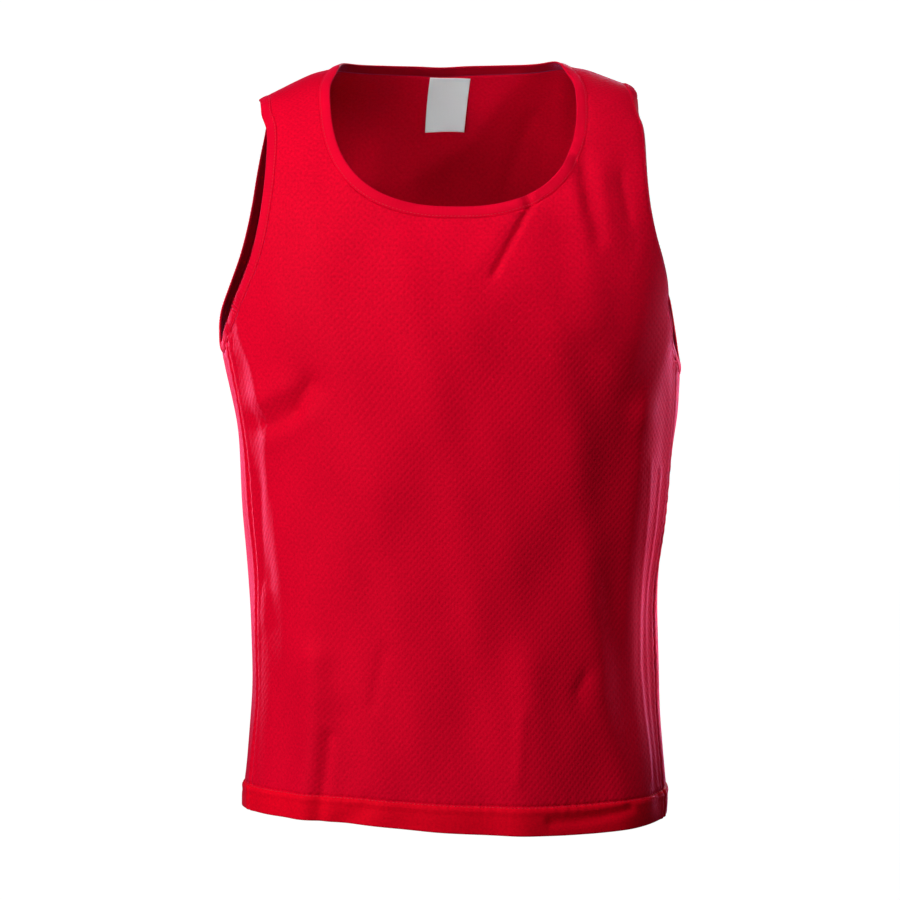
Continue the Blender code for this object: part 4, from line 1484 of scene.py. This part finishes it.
class BibStudioSettings(bpy.types.PropertyGroup):
    """Camera, lights and floor."""

    camera_distance: FloatProperty(
        name="Camera distance", description="From the camera to the middle of the bib",
        unit="LENGTH", min=1.0, max=10.0, default=3.3,
    )
    camera_turn: FloatProperty(
        name="Camera turn", description="How far the camera stands round from straight in front",
        subtype="ANGLE", default=math.radians(-3.0),
    )
    camera_height: FloatProperty(
        name="Camera height", description="Height of the camera above the shoulders",
        unit="LENGTH", min=-2.0, max=2.0, default=-0.05,
    )
    view_height: FloatProperty(
        name="View height", description="Height of what the view shows at that distance",
        unit="LENGTH", min=0.2, max=5.0, default=0.790,
    )
    floor_drop: FloatProperty(
        name="Floor drop", description="How far the floor lies below the hem",
        unit="LENGTH", min=0.0, max=3.0, default=0.75,
    )
    key_power: FloatProperty(
        name="Key light", description="Power of the large light at the front left, in watts",
        default=24.5, **POWER,
    )
    front_power: FloatProperty(
        name="Front light", description="Power of the weak light in front, in watts",
        default=7.5, **POWER,
    )
    top_power: FloatProperty(
        name="Top light", description="Power of the weak light above the shoulders, in watts",
        default=7.0, **POWER,
    )
    neck_power: FloatProperty(
        name="Neck light", description="Power of the narrow light on the neckline, in watts",
        default=0.08, **POWER,
    )
    back_power: FloatProperty(
        name="Back light", description="Power of the large light behind, in watts",
        default=40.0, **POWER,
    )
    rim_power: FloatProperty(
        name="Rim lights", description="Power of the narrow lights behind, in watts",
        default=0.24, **POWER,
    )
    curve_steps: IntProperty(
        name="Backdrop steps", description="Faces round the backdrop's curve",
        min=4, max=128, default=32,
    )


# ---------------------------------------------------------------- operators


class BIB_OT_add_panels(bpy.types.Operator):
    """Add the front and back panels of draped mesh cloth with their hems"""

    bl_idname = "bib.add_panels"
    bl_label = "Add panels"

    def execute(self, context):
        settings = context.scene.bib_cloth
        for panel in ("front", "back"):
            add_panel(panel, settings, finished("Red pinhole mesh", settings))
        return {"FINISHED"}


def sewn_lines():
    """The edges that the bindings follow, in pairs that meet at the seams."""
    front, back = (lift_hem(on_form(panel_net(panel), panel)) for panel in ("front", "back"))
    front_neck, front_left, front_right = taped_edges("front", front)
    back_neck, back_right, back_left = taped_edges("back", back)
    return {
        "neck_binding": (front_neck, back_neck),
        "armhole_binding_left": (front_left, back_left[::-1]),
        "armhole_binding_right": (front_right, back_right[::-1]),
    }


class BIB_OT_add_bindings(bpy.types.Operator):
    """Add the folded tapes round the neck and the armholes"""

    bl_idname = "bib.add_bindings"
    bl_label = "Add bindings"

    def execute(self, context):
        settings = context.scene.bib_cloth
        material = finished("Red binding tape", settings)
        for name, (one, other) in sewn_lines().items():
            ring = opening_ring(name, one, other, TAPE_STEPS, settings.crease_depth)
            even = np.full(len(ring.along), NECK_GATHER)
            gather = even if name == "neck_binding" else armhole_gather(ring.along)
            add_tape(name, ring, gather, settings, material)
        return {"FINISHED"}


class BIB_OT_add_label(bpy.types.Operator):
    """Add the blank satin label inside the back of the neck"""

    bl_idname = "bib.add_label"
    bl_label = "Add label"

    def execute(self, context):
        settings = context.scene.bib_cloth
        add_label(settings, finished("Blank satin label", settings))
        return {"FINISHED"}


class BIB_OT_add_stitches(bpy.types.Operator):
    """Add the rows of thread on the bindings and the hem"""

    bl_idname = "bib.add_stitches"
    bl_label = "Add stitches"

    def execute(self, context):
        settings = context.scene.bib_cloth
        material = finished("Red sewing thread", settings)
        for name, (one, other) in sewn_lines().items():
            ring = opening_ring(name, one, other, SEWN_STEPS, settings.crease_depth)
            reach = np.full((len(ring.points), 1), STITCH_INSET)
            line = ring.shifted(reach, np.full(reach.shape, TAPE_RISE - STITCH_SUNK))[:, 0]
            line, outward = (np.vstack([part, part[:1]]) for part in (line, ring.outward))
            stitches = name.replace("binding", "stitches")
            add_stitches(stitches, line, outward, settings, material, "binding_cloth")
        line, outward = hem_line(settings)
        add_stitches("hem_stitches", line, outward, settings, material, "mesh_cloth")
        return {"FINISHED"}


def hem_line(settings):
    """The hem's stitch line, all the way round, on the cloth's outer face."""
    around = np.linspace(-HALF_GIRTH, HALF_GIRTH, HEM_STEPS)
    net = lift_hem(stack(around, np.full_like(around, HEM_HEIGHT + HEM_STITCH)))
    height = net[:, 1]
    relief = hem_relief(np.full_like(around, HEM_STITCH), around)
    relief = relief + side_seam_relief(wrapped(around), height)
    outward = normals(form, around, height)
    return cloth(around, height, settings.crease_depth) + outward * relief[:, None], outward


def add_light(lamp, settings):
    """A soft panel of light. A spread under 180 degrees gathers it into a beam."""
    data = bpy.data.lights.new(lamp.name, "AREA")
    data.spread = math.radians(lamp.spread)
    data.shape = "RECTANGLE"
    data.size, data.size_y = lamp.size
    data.energy = lamp.share * getattr(settings, lamp.setting)
    data.color = lamp.colour
    made = bpy.data.objects.new(lamp.name, data)
    bpy.context.scene.collection.objects.link(made)
    made.location = lamp.at
    made.rotation_euler = aim(lamp.at, lamp.towards)


def aim(at, towards):
    """The turn that points an object's -Z from one place to another, with its top up."""
    run = np.array(towards) - np.array(at)
    level = math.hypot(run[0], run[1])
    return (math.atan2(level, -run[2]), 0.0, math.atan2(-run[0], run[1]))


def add_backdrop(settings):
    """A floor that curves up into a wall: a straight, a quarter circle and a straight, drawn
    out sideways."""
    floor = CAD_LOW.z - settings.floor_drop
    radius, near, far, width, top = BACKDROP
    turn = np.linspace(0.0, math.pi / 2, settings.curve_steps + 1)
    y = np.concatenate([[near], far + radius * np.sin(turn), [far + radius]])
    z = np.concatenate([[floor], floor + radius * (1 - np.cos(turn)), [top]])
    x = np.linspace(-width, width, 3)
    grid = stack(*np.broadcast_arrays(x[None, :], y[:, None], z[:, None]))
    faces = grid_faces(np.ones(grid.shape[:2], dtype=bool))
    mesh = bpy.data.meshes.new("backdrop")
    mesh.from_pydata(grid.reshape(-1, 3).tolist(), [], faces.tolist())
    mesh.shade_smooth()
    material = bpy.data.materials.new("Pale backdrop")
    material.use_nodes = True
    shader = material.node_tree.nodes["Principled BSDF"]
    finish(shader, Base_Color=PALE, Roughness=0.9, Emission_Color=WHITE)
    w = Wiring(material.node_tree)
    w.set_input(shader.inputs["Emission Strength"], w.seen())
    mesh.materials.append(material)
    made = bpy.data.objects.new("backdrop", mesh)
    bpy.context.scene.collection.objects.link(made)


def add_world(scene):
    """White where the camera looks past everything, and a faint light on the bib."""
    world = bpy.data.worlds.new("Studio")
    world.use_nodes = True
    background = world.node_tree.nodes["Background"]
    finish(background, Color=WHITE)
    w = Wiring(world.node_tree)
    strength = w.ramp(w.seen(), 0.0, 1.0, to_low=WORLD_LIGHT)
    w.set_input(background.inputs["Strength"], strength)
    scene.world = world
    scene.view_settings.view_transform = "Standard"


def add_camera(scene, settings):
    """The camera, whose lens takes in the view's height at the bib's distance."""
    camera = bpy.data.cameras.new("camera")
    camera.sensor_width = SENSOR_WIDTH
    distance, turn = settings.camera_distance, settings.camera_turn
    at = (distance * math.sin(turn), -distance * math.cos(turn), settings.camera_height)
    camera.lens = camera.sensor_width * math.dist(at, VIEW_CENTRE) / settings.view_height
    made = bpy.data.objects.new("camera", camera)
    scene.collection.objects.link(made)
    made.location = at
    made.rotation_euler = aim(at, VIEW_CENTRE)
    scene.camera = made


class BIB_OT_add_studio(bpy.types.Operator):
    """Add the pale floor and backdrop, the soft lights and the camera"""

    bl_idname = "bib.add_studio"
    bl_label = "Add studio"

    def execute(self, context):
        settings = context.scene.bib_studio
        add_backdrop(settings)
        for lamp in LAMPS:
            add_light(lamp, settings)
        add_world(context.scene)
        add_camera(context.scene, settings)
        return {"FINISHED"}


class BIB_PT_sidebar(bpy.types.Panel):
    """Lists the bib's sizes, colours and pieces"""

    bl_idname = "BIB_PT_sidebar"
    bl_label = "Training bib"
    bl_space_type = "VIEW_3D"
    bl_region_type = "UI"
    bl_category = "Training bib"

    def draw(self, context):
        for settings in (context.scene.bib_cloth, context.scene.bib_studio):
            column = self.layout.column()
            for name in type(settings).__annotations__:
                column.prop(settings, name)
        for operator in OPERATORS:
            self.layout.operator(operator.bl_idname)


OPERATORS = (
    BIB_OT_add_panels,
    BIB_OT_add_bindings,
    BIB_OT_add_label,
    BIB_OT_add_stitches,
    BIB_OT_add_studio,
)
CLASSES = (BibClothSettings, BibStudioSettings, *OPERATORS, BIB_PT_sidebar)


def register():
    """Registers the settings, the operators and the sidebar."""
    for cls in CLASSES:
        bpy.utils.register_class(cls)
    bpy.types.Scene.bib_cloth = PointerProperty(type=BibClothSettings)
    bpy.types.Scene.bib_studio = PointerProperty(type=BibStudioSettings)


def unregister():
    """Undoes register."""
    del bpy.types.Scene.bib_studio
    del bpy.types.Scene.bib_cloth
    for cls in reversed(CLASSES):
        bpy.utils.unregister_class(cls)


def main():
    """Builds the bib and its studio."""
    register()
    bpy.ops.bib.add_panels()
    bpy.ops.bib.add_bindings()
    bpy.ops.bib.add_label()
    bpy.ops.bib.add_stitches()
    bpy.ops.bib.add_studio()


if __name__ == "__main__":
    main()
